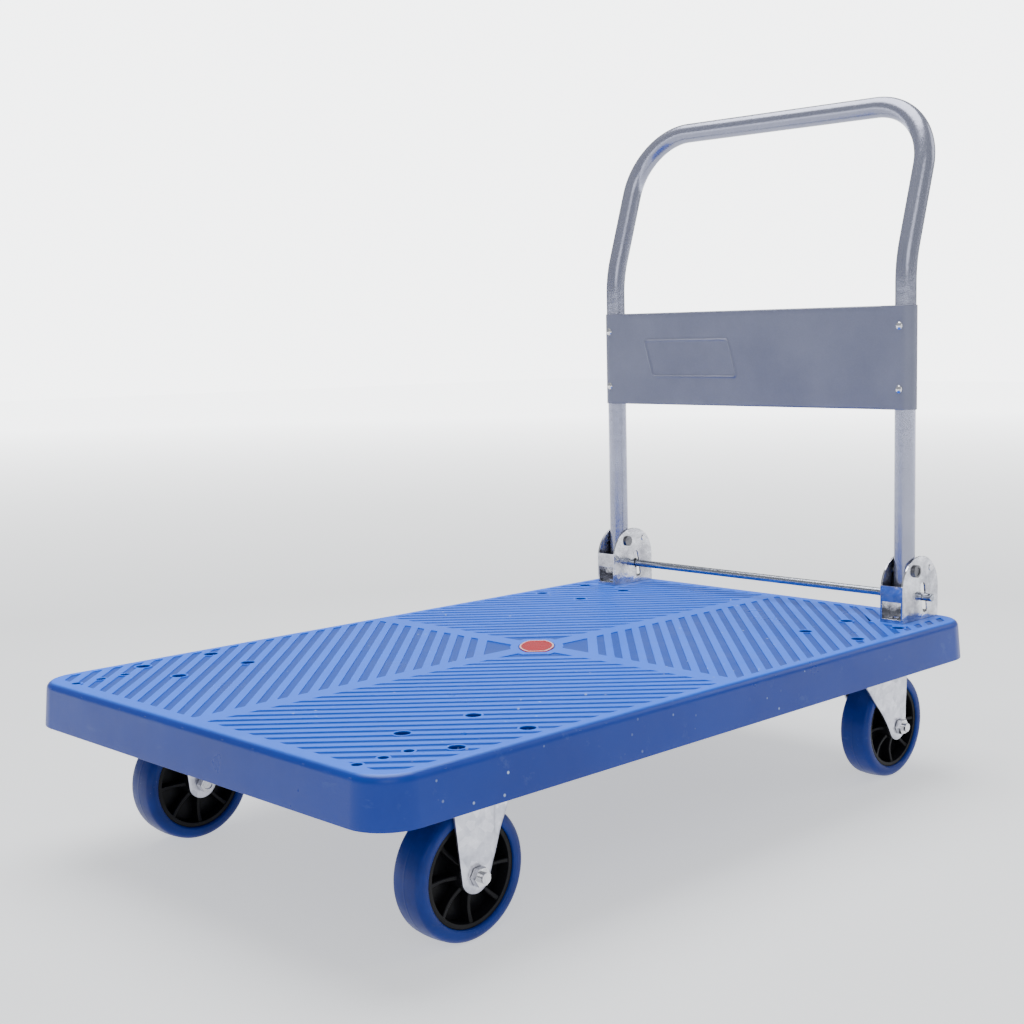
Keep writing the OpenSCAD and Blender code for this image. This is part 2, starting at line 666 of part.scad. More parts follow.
module rear_fork(y) color("gainsboro") translate([caster_x, y, 0]) {
    rise = crown_z + crown_t - 0.5 - axle_z;
    web_y = fork_in + fork_t / 2;        // the web ends inside the legs' sheet
    difference() {
        union() {
            translate([0, 0, crown_z]) cylinder(r = crown_r, h = crown_t);
            translate([-crown_r + 12, -web_y, crown_z]) cube([2 * crown_r - 10, 2 * web_y, crown_t]);
            // Collar round the kingpin.
            translate([0, 0, crown_z + 1]) cylinder(r = ball_ring_r - ball_d / 2 - 2, h = crown_t + 2);
            translate([swivel_trail, 0, 0]) for (side = [-1, 1])
                fork_leg(side, foot_r, [[-swivel_trail - crown_r + 8, rise],
                    [-swivel_trail + crown_r + 4, rise], [foot_r - 2, deck_z - 14 - axle_z]]);
        }
        translate([swivel_trail, 0, 0]) fork_bore();
        translate([0, 0, crown_z - through])
            cylinder(r = kingpin_d / 2 + running, h = crown_t + 3 + 2 * through);
    }
}

// Shank and hexagon head of an axle bolt about its own axle, head on the outer side.
module axle_bolt(out) color("silver") {
    disc_y(axle_d / 2, out * 2, 2 * fork_out + 18);
    translate([0, out * fork_out, 0]) rotate([out > 0 ? -90 : 90, 0, 0])
        cylinder(r = 16 / sqrt(3), h = 6.4, $fn = 6);
}

module axle_nut(out) color("silver") translate([0, -out * (fork_out + 8), 0])
    rotate([out > 0 ? -90 : 90, 0, 0]) hex_nut(16, 8, axle_d / 2 + running);

module axle_sleeve() color("silver") difference() {
    disc_y(sleeve_d / 2, 0, 2 * fork_in);
    disc_y(axle_d / 2 + seam, 0, 2 * fork_in + 2);
}

module front_axle(y) translate([-caster_x - fixed_lead, y, axle_z]) children();
module rear_axle(y) translate([caster_x + swivel_trail, y, axle_z]) children();

module front_axle_bolts() for (s = [-1, 1]) front_axle(s * caster_y) axle_bolt(s);
module front_axle_nuts() for (s = [-1, 1]) front_axle(s * caster_y) axle_nut(s);
module front_axle_sleeves() for (s = [-1, 1]) front_axle(s * caster_y) axle_sleeve();

// ---- wheels, about their own axles ----

// Half section of the tyre from its inner edge round the shoulder to the middle of the tread.
function tyre_side(w, crown, r_in) = let (r = 7, edge = wheel_d / 2 - crown)
    concat([[r_in, w]], [for (a = [0:15:75]) [edge - r + r * sin(a), w - r + r * cos(a)]],
        [[edge, w - r], [wheel_d / 2, w * 0.35]]);

module tyre() color("mediumblue") rotate([90, 0, 0]) rotate_extrude($fn = 96) {
    side = tyre_side(wheel_w / 2, 0.8, hub_d / 2 + seam);
    polygon(concat(side, [for (i = [len(side) - 1:-1:0]) [side[i][0], -side[i][1]]]));
}

module hub() color("black") difference() {
    rim_w = wheel_w - 5;
    rim_t = 5;
    boss_r = sleeve_d / 2 + 9;
    union() {
        difference() {
            disc_y(hub_d / 2, 0, rim_w);
            disc_y(hub_d / 2 - rim_t, 0, rim_w + 2);
        }
        disc_y(hub_d / 2 - 2, 0, 4);
        disc_y(boss_r, 0, boss_w);
        for (i = [0:7]) rotate([0, i * 45, 0])
            translate([boss_r - 2, -rim_w / 2 + 3, -1.8]) cube([hub_d / 2 - rim_t - boss_r + 4, rim_w - 6, 3.6]);
    }
    disc_y(sleeve_d / 2 + 3 + seam, 0, boss_w + 2);
}

module bearing() color("white") difference() {
    disc_y(sleeve_d / 2 + 3, 0, boss_w);
    disc_y(sleeve_d / 2 + running, 0, boss_w + 2);
}

deck();
badge();
bracket(leg_y);  // bracket_left
bracket(-leg_y);  // bracket_right
bracket_bolts();
bracket_washers();
bracket_nuts();
pivot_pin(leg_y, 1);  // pivot_pin_left
pivot_pin(-leg_y, -1);  // pivot_pin_right
handle_tube();
leg_plugs();
handle_panel();
panel_screws();
lock_rod();
rod_clips();
lock_spring(leg_y);  // lock_spring_left
lock_spring(-leg_y);  // lock_spring_right
spring_pins();
caster_bolts();
caster_washers();
caster_nuts();
front_fork(caster_y);  // front_fork_left
front_fork(-caster_y);  // front_fork_right
front_axle_bolts();
front_axle_sleeves();
front_axle_nuts();
rear_plate(caster_y);  // rear_plate_left
rear_plate(-caster_y);  // rear_plate_right
rear_kingpin(caster_y);  // rear_kingpin_left
rear_kingpin(-caster_y);  // rear_kingpin_right
rear_race_cap(caster_y);  // rear_race_cap_left
rear_race_cap(-caster_y);  // rear_race_cap_right
rear_balls(caster_y);  // rear_balls_left
rear_balls(-caster_y);  // rear_balls_right
rear_fork(caster_y);  // rear_fork_left
rear_fork(-caster_y);  // rear_fork_right
rear_axle(caster_y) axle_bolt(1);  // rear_axle_bolt_left
rear_axle(-caster_y) axle_bolt(-1);  // rear_axle_bolt_right
rear_axle(caster_y) axle_sleeve();  // rear_axle_sleeve_left
rear_axle(-caster_y) axle_sleeve();  // rear_axle_sleeve_right
rear_axle(caster_y) axle_nut(1);  // rear_axle_nut_left
rear_axle(-caster_y) axle_nut(-1);  // rear_axle_nut_right
front_axle(caster_y) tyre();  // front_tyre_left
front_axle(caster_y) hub();  // front_hub_left
front_axle(caster_y) bearing();  // front_bearing_left
front_axle(-caster_y) tyre();  // front_tyre_right
front_axle(-caster_y) hub();  // front_hub_right
front_axle(-caster_y) bearing();  // front_bearing_right
rear_axle(caster_y) tyre();  // rear_tyre_left
rear_axle(caster_y) hub();  // rear_hub_left
rear_axle(caster_y) bearing();  // rear_bearing_left
rear_axle(-caster_y) tyre();  // rear_tyre_right
rear_axle(-caster_y) hub();  // rear_hub_right
rear_axle(-caster_y) bearing();  // rear_bearing_right
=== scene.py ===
import math
import bmesh
import bpy
import numpy as np
from mathutils import Matrix, Vector
from mathutils.geometry import delaunay_2d_cdt


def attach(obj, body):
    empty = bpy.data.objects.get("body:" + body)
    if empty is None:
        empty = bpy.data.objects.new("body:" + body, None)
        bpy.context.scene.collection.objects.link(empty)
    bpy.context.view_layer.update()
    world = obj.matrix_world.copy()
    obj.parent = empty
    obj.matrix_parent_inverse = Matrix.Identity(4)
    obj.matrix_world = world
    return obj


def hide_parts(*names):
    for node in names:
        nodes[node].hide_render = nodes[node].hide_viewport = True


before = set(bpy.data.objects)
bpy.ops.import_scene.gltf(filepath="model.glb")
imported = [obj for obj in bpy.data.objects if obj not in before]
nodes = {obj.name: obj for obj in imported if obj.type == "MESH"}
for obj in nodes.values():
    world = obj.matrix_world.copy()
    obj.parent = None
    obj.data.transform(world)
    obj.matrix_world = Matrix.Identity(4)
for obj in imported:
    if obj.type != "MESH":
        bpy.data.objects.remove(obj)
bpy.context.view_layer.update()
mm = 0.001


# Collecting points and faces, in millimetres, before they become a mesh.
def newShape():
    return {"points": [], "faces": [], "count": 0}


def addMesh(shape, points, faces):
    base = shape["count"]
    points = np.asarray(points, float).reshape(-1, 3)
    shape["points"].append(points)
    shape["faces"] += [[int(i) + base for i in face] for face in faces]
    shape["count"] += len(points)


def addGrid(shape, grid, wrapRows=False, wrapCols=False, flip=False):
    rows, cols = grid.shape[:2]
    index = np.arange(rows * cols).reshape(rows, cols)
    if wrapRows:
        index = np.vstack([index, index[:1]])
    if wrapCols:
        index = np.hstack([index, index[:, :1]])
    quads = np.stack([index[:-1, :-1], index[:-1, 1:], index[1:, 1:], index[1:, :-1]], -1).reshape(-1, 4)
    addMesh(shape, grid, quads[:, ::-1] if flip else quads)


def finishShape(name, shape, body, material, replaced=(), closed=True, sharp=35):
    mesh = bpy.data.meshes.new(name)
    mesh.from_pydata((np.vstack(shape["points"]) * mm).tolist(), [], shape["faces"])
    work = bmesh.new()
    work.from_mesh(mesh)
    bmesh.ops.remove_doubles(work, verts=work.verts, dist=2e-6)
    if closed:
        bmesh.ops.recalc_face_normals(work, faces=work.faces)
    work.to_mesh(mesh)
    work.free()
    mesh.shade_smooth()
    mesh.set_sharp_from_angle(angle=math.radians(sharp))
    piece = bpy.data.objects.new(name, mesh)
    bpy.context.scene.collection.objects.link(piece)
    mesh.materials.append(material)
    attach(piece, body)
    if replaced:
        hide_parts(*replaced)
    return piece


def addModifier(piece, kind, **settings):
    modifier = piece.modifiers.new(kind.title(), kind)
    for key, value in settings.items():
        setattr(modifier, key, value)
    return modifier


# A profile of (radius, height) pairs turned about an axis through centre.
# Point = centre + radius * (cos turn, sin turn) across the axis + height along it. Closed profiles join up.
def addLathe(shape, profile, centre, axis="y", steps=96, closed=True):
    profile = np.asarray(profile, float)
    angle = np.linspace(0, 2 * np.pi, steps, endpoint=False)[:, None]
    radius, height = profile[:, 0][None], profile[:, 1][None]
    a, b = radius * np.cos(angle), radius * np.sin(angle)
    c = np.broadcast_to(height, a.shape)
    order = {"z": (a, b, c), "y": (b, c, a), "x": (c, a, b)}[axis]
    addGrid(shape, np.stack(order, -1) + np.asarray(centre, float), wrapRows=True, wrapCols=closed)


# Every corner of a closed profile becomes three points, which cut it off softly.
def softProfile(points, cut):
    points = np.asarray(points, float)
    before, after = np.roll(points, 1, 0), np.roll(points, -1, 0)
    result = []
    for p, q, r in zip(before, points, after):
        toP, toR = p - q, r - q
        lengthP, lengthR = np.linalg.norm(toP), np.linalg.norm(toR)
        c = min(cut, 0.4 * lengthP, 0.4 * lengthR)
        a, b = q + toP / lengthP * c, q + toR / lengthR * c
        result += [a, (a + 2 * q + b) / 4, b]
    return np.array(result)


def addSweep(shape, path, radius, sides=24, inner=0.0):
    # A round section carried along a path: point = path + radius * (side * cos turn + other * sin turn),
    # where side and other stand square to the path and turn with it, without a twist.
    path = np.asarray(path, float)
    tangent = np.gradient(path, axis=0)
    tangent /= np.linalg.norm(tangent, axis=1)[:, None]
    side = np.cross(tangent[0], [0.3, 0.9, 0.2])
    frames = []
    for t in tangent:
        side = side - t * (side @ t)
        side /= np.linalg.norm(side)
        frames.append((side, np.cross(t, side)))
    across = np.array([f[0] for f in frames])
    along = np.array([f[1] for f in frames])
    angle = np.linspace(0, 2 * np.pi, sides, endpoint=False)
    circle = across[:, None] * np.cos(angle)[None, :, None] + along[:, None] * np.sin(angle)[None, :, None]
    outer = path[:, None] + radius * circle
    if inner:
        inside = path[:, None] + inner * circle
        grid = np.concatenate([outer, inside[::-1]])
        addGrid(shape, grid, wrapRows=True, wrapCols=True)
    else:
        addGrid(shape, outer, wrapCols=True)
        for end in (outer[0][::-1], outer[-1]):
            addMesh(shape, end, [list(range(sides))])


# Flat outlines: cutting one by others, drawing them in, filling them.
def triangulate(loops, extra=()):
    points, edges, faces = [], [], []
    for loop in loops:
        loop = loop if area(loop) > 0 else loop[::-1]
        base = len(points)
        points += [Vector((float(p[0]), float(p[1]))) for p in loop]
        edges += [(base + i, base + (i + 1) % len(loop)) for i in range(len(loop))]
        faces.append([base + i for i in range(len(loop))])
    points += [Vector((float(p[0]), float(p[1]))) for p in extra]
    found = delaunay_2d_cdt(points, edges, faces, 0, 1e-5)
    return np.array([tuple(p) for p in found[0]]), found[2], found[5]


def outlineOf(triangles):
    # The edges used by one triangle only, joined up into loops.
    seen = {}
    for t in triangles:
        for i in range(3):
            edge = (t[i], t[(i + 1) % 3])
            if (edge[1], edge[0]) in seen:
                del seen[(edge[1], edge[0])]
            else:
                seen[edge] = True
    following = {}
    for a, b in seen:
        following.setdefault(a, []).append(b)
    loops = []
    while following:
        start = next(iter(following))
        loop, at = [], start
        while at in following:
            loop.append(at)
            step = following[at].pop()
            if not following[at]:
                del following[at]
            at = step
        loops.append(loop)
    return loops


def area(loop):
    x, y = loop[:, 0], loop[:, 1]
    return 0.5 * float(np.sum(x * np.roll(y, -1) - np.roll(x, -1) * y))


def cutLoops(kept, removed):
    points, triangles, owners = triangulate(list(kept) + list(removed))
    chosen = [t for t, own in zip(triangles, owners)
              if any(o < len(kept) for o in own) and not any(o >= len(kept) for o in own)]
    loops = [points[loop] for loop in outlineOf(chosen)]
    return [loop for loop in loops if abs(area(loop)) > 12]


def tidyLoop(loop, least=0.25):
    keep = [loop[0]]
    for p in loop[1:]:
        if np.linalg.norm(p - keep[-1]) > least:
            keep.append(p)
    if np.linalg.norm(keep[0] - keep[-1]) < least:
        keep.pop()
    return np.array(keep)


def shrinkLoop(loop, amount):
    # Each corner moves in along the line that halves it, as far as both its sides move by the amount.
    before, after = loop - np.roll(loop, 1, 0), np.roll(loop, -1, 0) - loop
    before /= np.linalg.norm(before, axis=1)[:, None]
    after /= np.linalg.norm(after, axis=1)[:, None]
    normalA = np.stack([-before[:, 1], before[:, 0]], -1)
    normalB = np.stack([-after[:, 1], after[:, 0]], -1)
    middle = normalA + normalB
    middle /= np.maximum(np.sum(middle * normalA, 1), 0.35)[:, None]
    turn = 1.0 if area(loop) > 0 else -1.0
    return loop + turn * amount * middle


def fillFlat(shape, loops, height):
    # Triangles that an odd number of the loops go round, so loops inside the first one are holes.
    points, triangles, _ = triangulate(loops)
    middles = points[np.array(triangles)].mean(1)
    starts = np.vstack(loops)
    ends = np.vstack([np.roll(loop, -1, 0) for loop in loops])
    count = np.zeros(len(middles), int)
    for p, q in zip(starts, ends):
        straddles = (p[1] > middles[:, 1]) != (q[1] > middles[:, 1])
        if straddles.any():
            at = p[0] + (middles[:, 1] - p[1]) * (q[0] - p[0]) / (q[1] - p[1])
            count += straddles & (middles[:, 0] < at)
    chosen = [t for t, c in zip(triangles, count) if c % 2]
    addMesh(shape, np.column_stack([points, np.full(len(points), height)]), chosen)


def circleLoop(x, y, r, steps=32):
    angle = np.linspace(0, 2 * np.pi, steps, endpoint=False)
    return np.stack([x + r * np.cos(angle), y + r * np.sin(angle)], -1)


def ringsToGrid(rings):
    return np.stack([np.column_stack([loop, np.full(len(loop), z)]) for loop, z in rings])


def smoothStep(value, low, high):
    # 3 t t - 2 t t t, where t runs from 0 at low to 1 at high.
    t = np.clip((value - low) / (high - low), 0, 1)
    return t * t * (3 - 2 * t)


def roundedLoop(halfX, halfY, r, steps=12):
    # Four quarter circles of radius r about the corners of a smaller rectangle.
    angle = np.linspace(0, np.pi / 2, steps + 1)
    corners = []
    for k, (sx, sy) in enumerate(((1, 1), (-1, 1), (-1, -1), (1, -1))):
        turn = angle + k * np.pi / 2
        x, y = sx * (halfX - r) + r * np.cos(turn), sy * (halfY - r) + r * np.sin(turn)
        corners.append(np.stack([x, y], -1))
    return np.vstack(corners)


# Materials, all made from noise in the object's own coordinates.
def startMaterial(name):
    material = bpy.data.materials.new(name)
    material.use_nodes = True
    tree = material.node_tree
    place = tree.nodes.new("ShaderNodeTexCoord")
    return material, tree, tree.nodes["Principled BSDF"], place.outputs["Object"]


def noiseOf(tree, source, scale, detail=4.0, roughness=0.55, stretch=None):
    if stretch:
        mapping = tree.nodes.new("ShaderNodeMapping")
        mapping.inputs["Scale"].default_value = stretch
        tree.links.new(source, mapping.inputs["Vector"])
        source = mapping.outputs["Vector"]
    node = tree.nodes.new("ShaderNodeTexNoise")
    node.inputs["Scale"].default_value = scale
    node.inputs["Detail"].default_value = detail
    node.inputs["Roughness"].default_value = roughness
    tree.links.new(source, node.inputs["Vector"])
    return node.outputs["Fac"]


def cellsOf(tree, source, scale, output="Distance"):
    node = tree.nodes.new("ShaderNodeTexVoronoi")
    node.inputs["Scale"].default_value = scale
    tree.links.new(source, node.inputs["Vector"])
    return node.outputs[output]


def spreadOf(tree, value, low, high, toLow=0.0, toHigh=1.0):
    node = tree.nodes.new("ShaderNodeMapRange")
    node.inputs["From Min"].default_value = low
    node.inputs["From Max"].default_value = high
    node.inputs["To Min"].default_value = toLow
    node.inputs["To Max"].default_value = toHigh
    tree.links.new(value, node.inputs["Value"])
    return node.outputs["Result"]


def mathOf(tree, operation, first, second):
    node = tree.nodes.new("ShaderNodeMath")
    node.operation = operation
    for socket, value in zip(node.inputs, (first, second)):
        if isinstance(value, (int, float)):
            socket.default_value = value
        else:
            tree.links.new(value, socket)
    return node.outputs["Value"]


def mixOf(tree, factor, first, second):
    node = tree.nodes.new("ShaderNodeMix")
    node.data_type = "RGBA"
    tree.links.new(factor, node.inputs[0])
    for socket, value in ((node.inputs[6], first), (node.inputs[7], second)):
        if isinstance(value, tuple):
            socket.default_value = (*value, 1.0)
        else:
            tree.links.new(value, socket)
    return node.outputs[2]


def bumpOf(tree, shader, height, distance, strength=1.0, under=None):
    node = tree.nodes.new("ShaderNodeBump")
    node.inputs["Distance"].default_value = distance
    node.inputs["Strength"].default_value = strength
    tree.links.new(height, node.inputs["Height"])
    if under is not None:
        tree.links.new(under, node.inputs["Normal"])
    tree.links.new(node.outputs["Normal"], shader.inputs["Normal"])
    return node.outputs["Normal"]


def plasticFinish(name, look):
    # Colour drifts slowly, a fine grain stands in the surface, and small pale specks and scuffs lie on it.
    material, tree, shader, place = startMaterial(name)
    drift = spreadOf(tree, noiseOf(tree, place, look["driftScale"], 5.0), 0.35, 0.68)
    tone = mixOf(tree, drift, look["color"], look["shade"])
    if "paintedSheenTone" in look:
        # Painted light: the top is painted paler than the sides, as light falling from above, and the raised
        # parts paler still than those between them, as painted sheen; the drift varies both a little.
        height = tree.nodes.new("ShaderNodeSeparateXYZ")
        tree.links.new(place, height.inputs[0])
        high, paintedLightDrift = height.outputs["Z"], spreadOf(tree, drift, 0.0, 1.0, 1.0, 0.84)
        sunk = spreadOf(tree, high, look["sunkZ"] - 0.0008, look["sunkZ"] - 0.0001)
        sheenMask = spreadOf(tree, high, look["sunkZ"] + 0.0001, look["landZ"])
        tone = mixOf(tree, mathOf(tree, "MULTIPLY", sunk, paintedLightDrift), tone, look["paintedTopLightTone"])
        tone = mixOf(tree, mathOf(tree, "MULTIPLY", sheenMask, paintedLightDrift), tone, look["paintedSheenTone"])
    cells, size = cellsOf(tree, place, look["speckScale"]), look["speckSize"]
    specks = spreadOf(tree, cells, size, size * 0.5)
    patches = spreadOf(tree, noiseOf(tree, place, 9.0, 3.0), 0.52, 0.62)
    shown = mathOf(tree, "MULTIPLY", specks, patches)
    tone = mixOf(tree, mathOf(tree, "MULTIPLY", shown, look["speckShow"]), tone, look["dust"])
    scuffs = spreadOf(tree, noiseOf(tree, place, 38.0, 6.0, 0.7, (1.0, 0.22, 1.0)), 0.6, 0.74)
    tone = mixOf(tree, mathOf(tree, "MULTIPLY", scuffs, look["scuffShow"]), tone, look["dust"])
    tree.links.new(tone, shader.inputs["Base Color"])
    rough = spreadOf(tree, noiseOf(tree, place, look["driftScale"] * 3, 6.0), 0.3, 0.7,
                     look["roughness"] - 0.05, look["roughness"] + 0.07)
    rough = mathOf(tree, "ADD", rough, mathOf(tree, "MULTIPLY", scuffs, 0.12))
    tree.links.new(rough, shader.inputs["Roughness"])
    shader.inputs["IOR"].default_value = look.get("ior", 1.5)
    grain = noiseOf(tree, place, look["grainScale"], 3.0, 0.6)
    wave = noiseOf(tree, place, look["waveScale"], 2.0, 0.4)
    first = bumpOf(tree, shader, wave, look["waveDepth"])
    bumpOf(tree, shader, grain, look["grainDepth"], 1.0, first)
    return material


def metalFinish(name, look):
    # Cells and clouds of slightly different brightness, fine drawn scratches and a few duller, darker
    # patches: grime on most metals, painted dark reflections on the brackets.
    material, tree, shader, place = startMaterial(name)
    cells = cellsOf(tree, place, look["cellScale"], "Color")
    split = tree.nodes.new("ShaderNodeSeparateColor")
    tree.links.new(cells, split.inputs["Color"])
    clouds = spreadOf(tree, noiseOf(tree, place, look["cloudScale"], 6.0, 0.65), 0.3, 0.7)
    blend = mathOf(tree, "ADD", mathOf(tree, "MULTIPLY", split.outputs["Red"], look["cellShow"]),
                   mathOf(tree, "MULTIPLY", clouds, 1.0 - look["cellShow"]))
    tone = mixOf(tree, blend, look["shade"], look["color"])
    grimeAndDarkReflection = spreadOf(tree, noiseOf(tree, place, look["cloudScale"] * 0.6, 8.0, 0.75), 0.6, 0.8)
    tone = mixOf(tree, mathOf(tree, "MULTIPLY", grimeAndDarkReflection, look["grimeAndReflectionShow"]), tone, look["grimeAndDarkReflection"])
    tree.links.new(tone, shader.inputs["Base Color"])
    shader.inputs["Metallic"].default_value = look["metallic"]
    rough = spreadOf(tree, clouds, 0.0, 1.0, look["roughness"] + 0.06, look["roughness"] - 0.04)
    rough = mathOf(tree, "ADD", rough, mathOf(tree, "MULTIPLY", grimeAndDarkReflection, 0.15))
    tree.links.new(rough, shader.inputs["Roughness"])
    scratches = noiseOf(tree, place, look["scratchScale"], 4.0, 0.7, look["scratchRun"])
    first = bumpOf(tree, shader, noiseOf(tree, place, look["waveScale"], 3.0, 0.5), look["waveDepth"])
    bumpOf(tree, shader, scratches, look["scratchDepth"], 1.0, first)
    return material


# On the deck the sunk and land tones are painted light: a paler top for light from above, paler lands for
# painted sheen.
deckLook = {"color": (0.0, 0.03, 0.28), "shade": (0.0, 0.022, 0.22), "dust": (0.5, 0.65, 0.9),
            "paintedTopLightTone": (0.0, 0.06, 0.42), "paintedSheenTone": (0.02, 0.17, 0.97), "sunkZ": 0.1843, "landZ": 0.1853,
            "driftScale": 5.0, "speckScale": 70.0, "speckSize": 0.12, "speckShow": 0.8, "scuffShow": 0.05,
            "roughness": 0.32, "ior": 1.38, "grainScale": 900.0, "grainDepth": 0.00006, "waveScale": 22.0,
            "waveDepth": 0.0005}
tyreLook = {"color": (0.0, 0.02, 0.2), "shade": (0.0, 0.012, 0.13), "dust": (0.2, 0.28, 0.42),
            "driftScale": 22.0, "speckScale": 160.0, "speckSize": 0.09, "speckShow": 0.3, "scuffShow": 0.12,
            "roughness": 0.36, "ior": 1.33, "grainScale": 1400.0, "grainDepth": 0.00004, "waveScale": 60.0,
            "waveDepth": 0.0002}
hubLook = {"color": (0.003, 0.003, 0.004), "shade": (0.006, 0.006, 0.008), "dust": (0.09, 0.09, 0.1),
           "driftScale": 30.0, "speckScale": 190.0, "speckSize": 0.1, "speckShow": 0.35, "scuffShow": 0.12,
           "roughness": 0.4, "ior": 1.26, "grainScale": 1600.0, "grainDepth": 0.00005, "waveScale": 70.0,
           "waveDepth": 0.0002}
blackLook = dict(hubLook, color=(0.012, 0.012, 0.013), shade=(0.02, 0.02, 0.022))
nylonLook = {"color": (0.68, 0.67, 0.62), "shade": (0.55, 0.54, 0.5), "dust": (0.2, 0.19, 0.17),
             "driftScale": 40.0, "speckScale": 220.0, "speckSize": 0.1, "speckShow": 0.3, "scuffShow": 0.1,
             "roughness": 0.4, "grainScale": 1600.0, "grainDepth": 0.00003, "waveScale": 90.0,
             "waveDepth": 0.0001}
# The badge's raised rim takes the pale land tone, a painted highlight on the red enamel.
badgeLook = {"color": (0.42, 0.0, 0.012), "shade": (0.26, 0.0, 0.006), "dust": (0.9, 0.6, 0.6), "ior": 1.35,
             "paintedTopLightTone": (0.42, 0.0, 0.012), "paintedSheenTone": (0.75, 0.55, 0.56),
             "sunkZ": 0.18595, "landZ": 0.18615,
             "driftScale": 60.0, "speckScale": 260.0, "speckSize": 0.09, "speckShow": 0.4, "scuffShow": 0.1,
             "roughness": 0.25, "grainScale": 1500.0, "grainDepth": 0.00003, "waveScale": 160.0,
             "waveDepth": 0.0003}
zincLook = {"color": (0.83, 0.83, 0.9), "shade": (0.42, 0.43, 0.5), "grimeAndDarkReflection": (0.16, 0.15, 0.19),
            "grimeAndReflectionShow": 0.7, "metallic": 1.0, "roughness": 0.3, "cellScale": 130.0, "cellShow": 0.45,
            "cloudScale": 70.0,
            "scratchScale": 260.0, "scratchRun": (1.0, 1.0, 0.12), "scratchDepth": 0.00005,
            "waveScale": 60.0, "waveDepth": 0.0005}
# On the brackets the strong dark clouds and near-black patches are painted dark reflections of a chrome
# finish.
bracketLook = dict(zincLook, color=(0.78, 0.79, 0.84), shade=(0.2, 0.2, 0.24), roughness=0.15,
                   grimeAndDarkReflection=(0.04, 0.04, 0.05), grimeAndReflectionShow=0.85, cellShow=0.1, cloudScale=34.0, waveDepth=0.0009)
steelLook = dict(zincLook, color=(0.78, 0.78, 0.8), shade=(0.55, 0.55, 0.58), roughness=0.2, grimeAndReflectionShow=0.4,
                 cellScale=300.0, cloudScale=140.0, waveDepth=0.0001)
rodLook = dict(steelLook, color=(0.42, 0.44, 0.5), shade=(0.26, 0.28, 0.33))
springLook = dict(zincLook, color=(0.2, 0.2, 0.21), shade=(0.1, 0.1, 0.11), roughness=0.35, waveDepth=0.0001)
tubeLook = {"color": (0.3, 0.31, 0.39), "shade": (0.25, 0.26, 0.34), "grimeAndDarkReflection": (0.2, 0.2, 0.24),
            "grimeAndReflectionShow": 0.2, "metallic": 0.75, "roughness": 0.22, "cellScale": 900.0, "cellShow": 0.3,
            "cloudScale": 14.0,
            "scratchScale": 700.0, "scratchRun": (1.0, 1.0, 1.0), "scratchDepth": 0.00005,
            "waveScale": 90.0, "waveDepth": 0.00025}
panelLook = dict(tubeLook, color=(0.165, 0.175, 0.24), shade=(0.135, 0.145, 0.205), roughness=0.4,
                 metallic=0.4, scratchRun=(1.0, 0.15, 1.0))

deckPlastic = plasticFinish("deckPlastic", deckLook)
tyreRubber = plasticFinish("tyreRubber", tyreLook)
hubPlastic = plasticFinish("hubPlastic", hubLook)
blackPlastic = plasticFinish("blackPlastic", blackLook)
bearingNylon = plasticFinish("bearingNylon", nylonLook)
badgeEnamel = plasticFinish("badgeEnamel", badgeLook)
forkZinc = metalFinish("forkZinc", zincLook)
bracketZinc = metalFinish("bracketZinc", bracketLook)
brightSteel = metalFinish("brightSteel", steelLook)
springSteel = metalFinish("springSteel", springLook)
rodSteel = metalFinish("rodSteel", rodLook)
handlePaint = metalFinish("handlePaint", tubeLook)
panelPaint = metalFinish("panelPaint", panelLook)
print("stage: materials")


# Deck: its top with bands, bolt wells and holes, its rounded edge, skirt and hollow underside.
deck = {"halfX": 450.0, "halfY": 290.0, "height": 45.5, "corner": 42.0, "edge": 8.0, "draft": 3.0,
        "skin": 5.0, "wall": 4.5, "foot": 140.0, "top": 185.5, "bandStart": 102.0, "bandStep": 24.0,
        "bandWidth": 8.8,
        "bandDepth": 1.2, "crossHalf": 11.0, "endX": 428.0, "endY": 273.0, "recessEnd": 81.0, "padLow": 351.0,
        "padHigh": 445.0, "padHalf": 25.6, "rowX": 400.0, "rowY": 232.0, "rowStep": 27.0}
caster = {"x": 298.0, "y": 218.0, "boltX": 41.5, "boltY": 36.0, "boltHole": 4.25, "halfX": 54.0,
          "halfY": 47.0,
          "corner": 8.0, "plateLow": 157.0, "plateHigh": 160.0, "frontAxle": 310.0, "rearAxle": 360.0,
          "crown": 148.0}
signs = (-1, 1)
wells = [(sx * (caster["x"] + dx * caster["boltX"]), sy * (caster["y"] + dy * caster["boltY"]))
         for sx in signs for sy in signs for dx in signs for dy in signs]
rowPlaces = [deck["rowX"] + k * deck["rowStep"] for k in (-1, 0, 1)]
rowHoles = [(sx * x, sy * deck["rowY"]) for sx in signs for sy in signs for x in rowPlaces]


def ovalLoop(length, width, steps=40):
    # Two wide arcs and straight-cut ends, as the badge's plan in the CAD part, turned by 45 degrees.
    endWidth = width * 0.38
    r = (length ** 2 + width ** 2 - endWidth ** 2) / 4 / (width - endWidth)
    reach = math.asin(length / 2 / r)
    angle = np.linspace(-reach, reach, steps)
    upper = np.stack([r * np.sin(angle), width / 2 - r + r * np.cos(angle)], -1)
    loop = np.vstack([upper[::-1], -upper[::-1]])
    c = math.cos(math.pi / 4)
    return np.stack([c * (loop[:, 0] - loop[:, 1]), c * (loop[:, 0] + loop[:, 1])], -1)


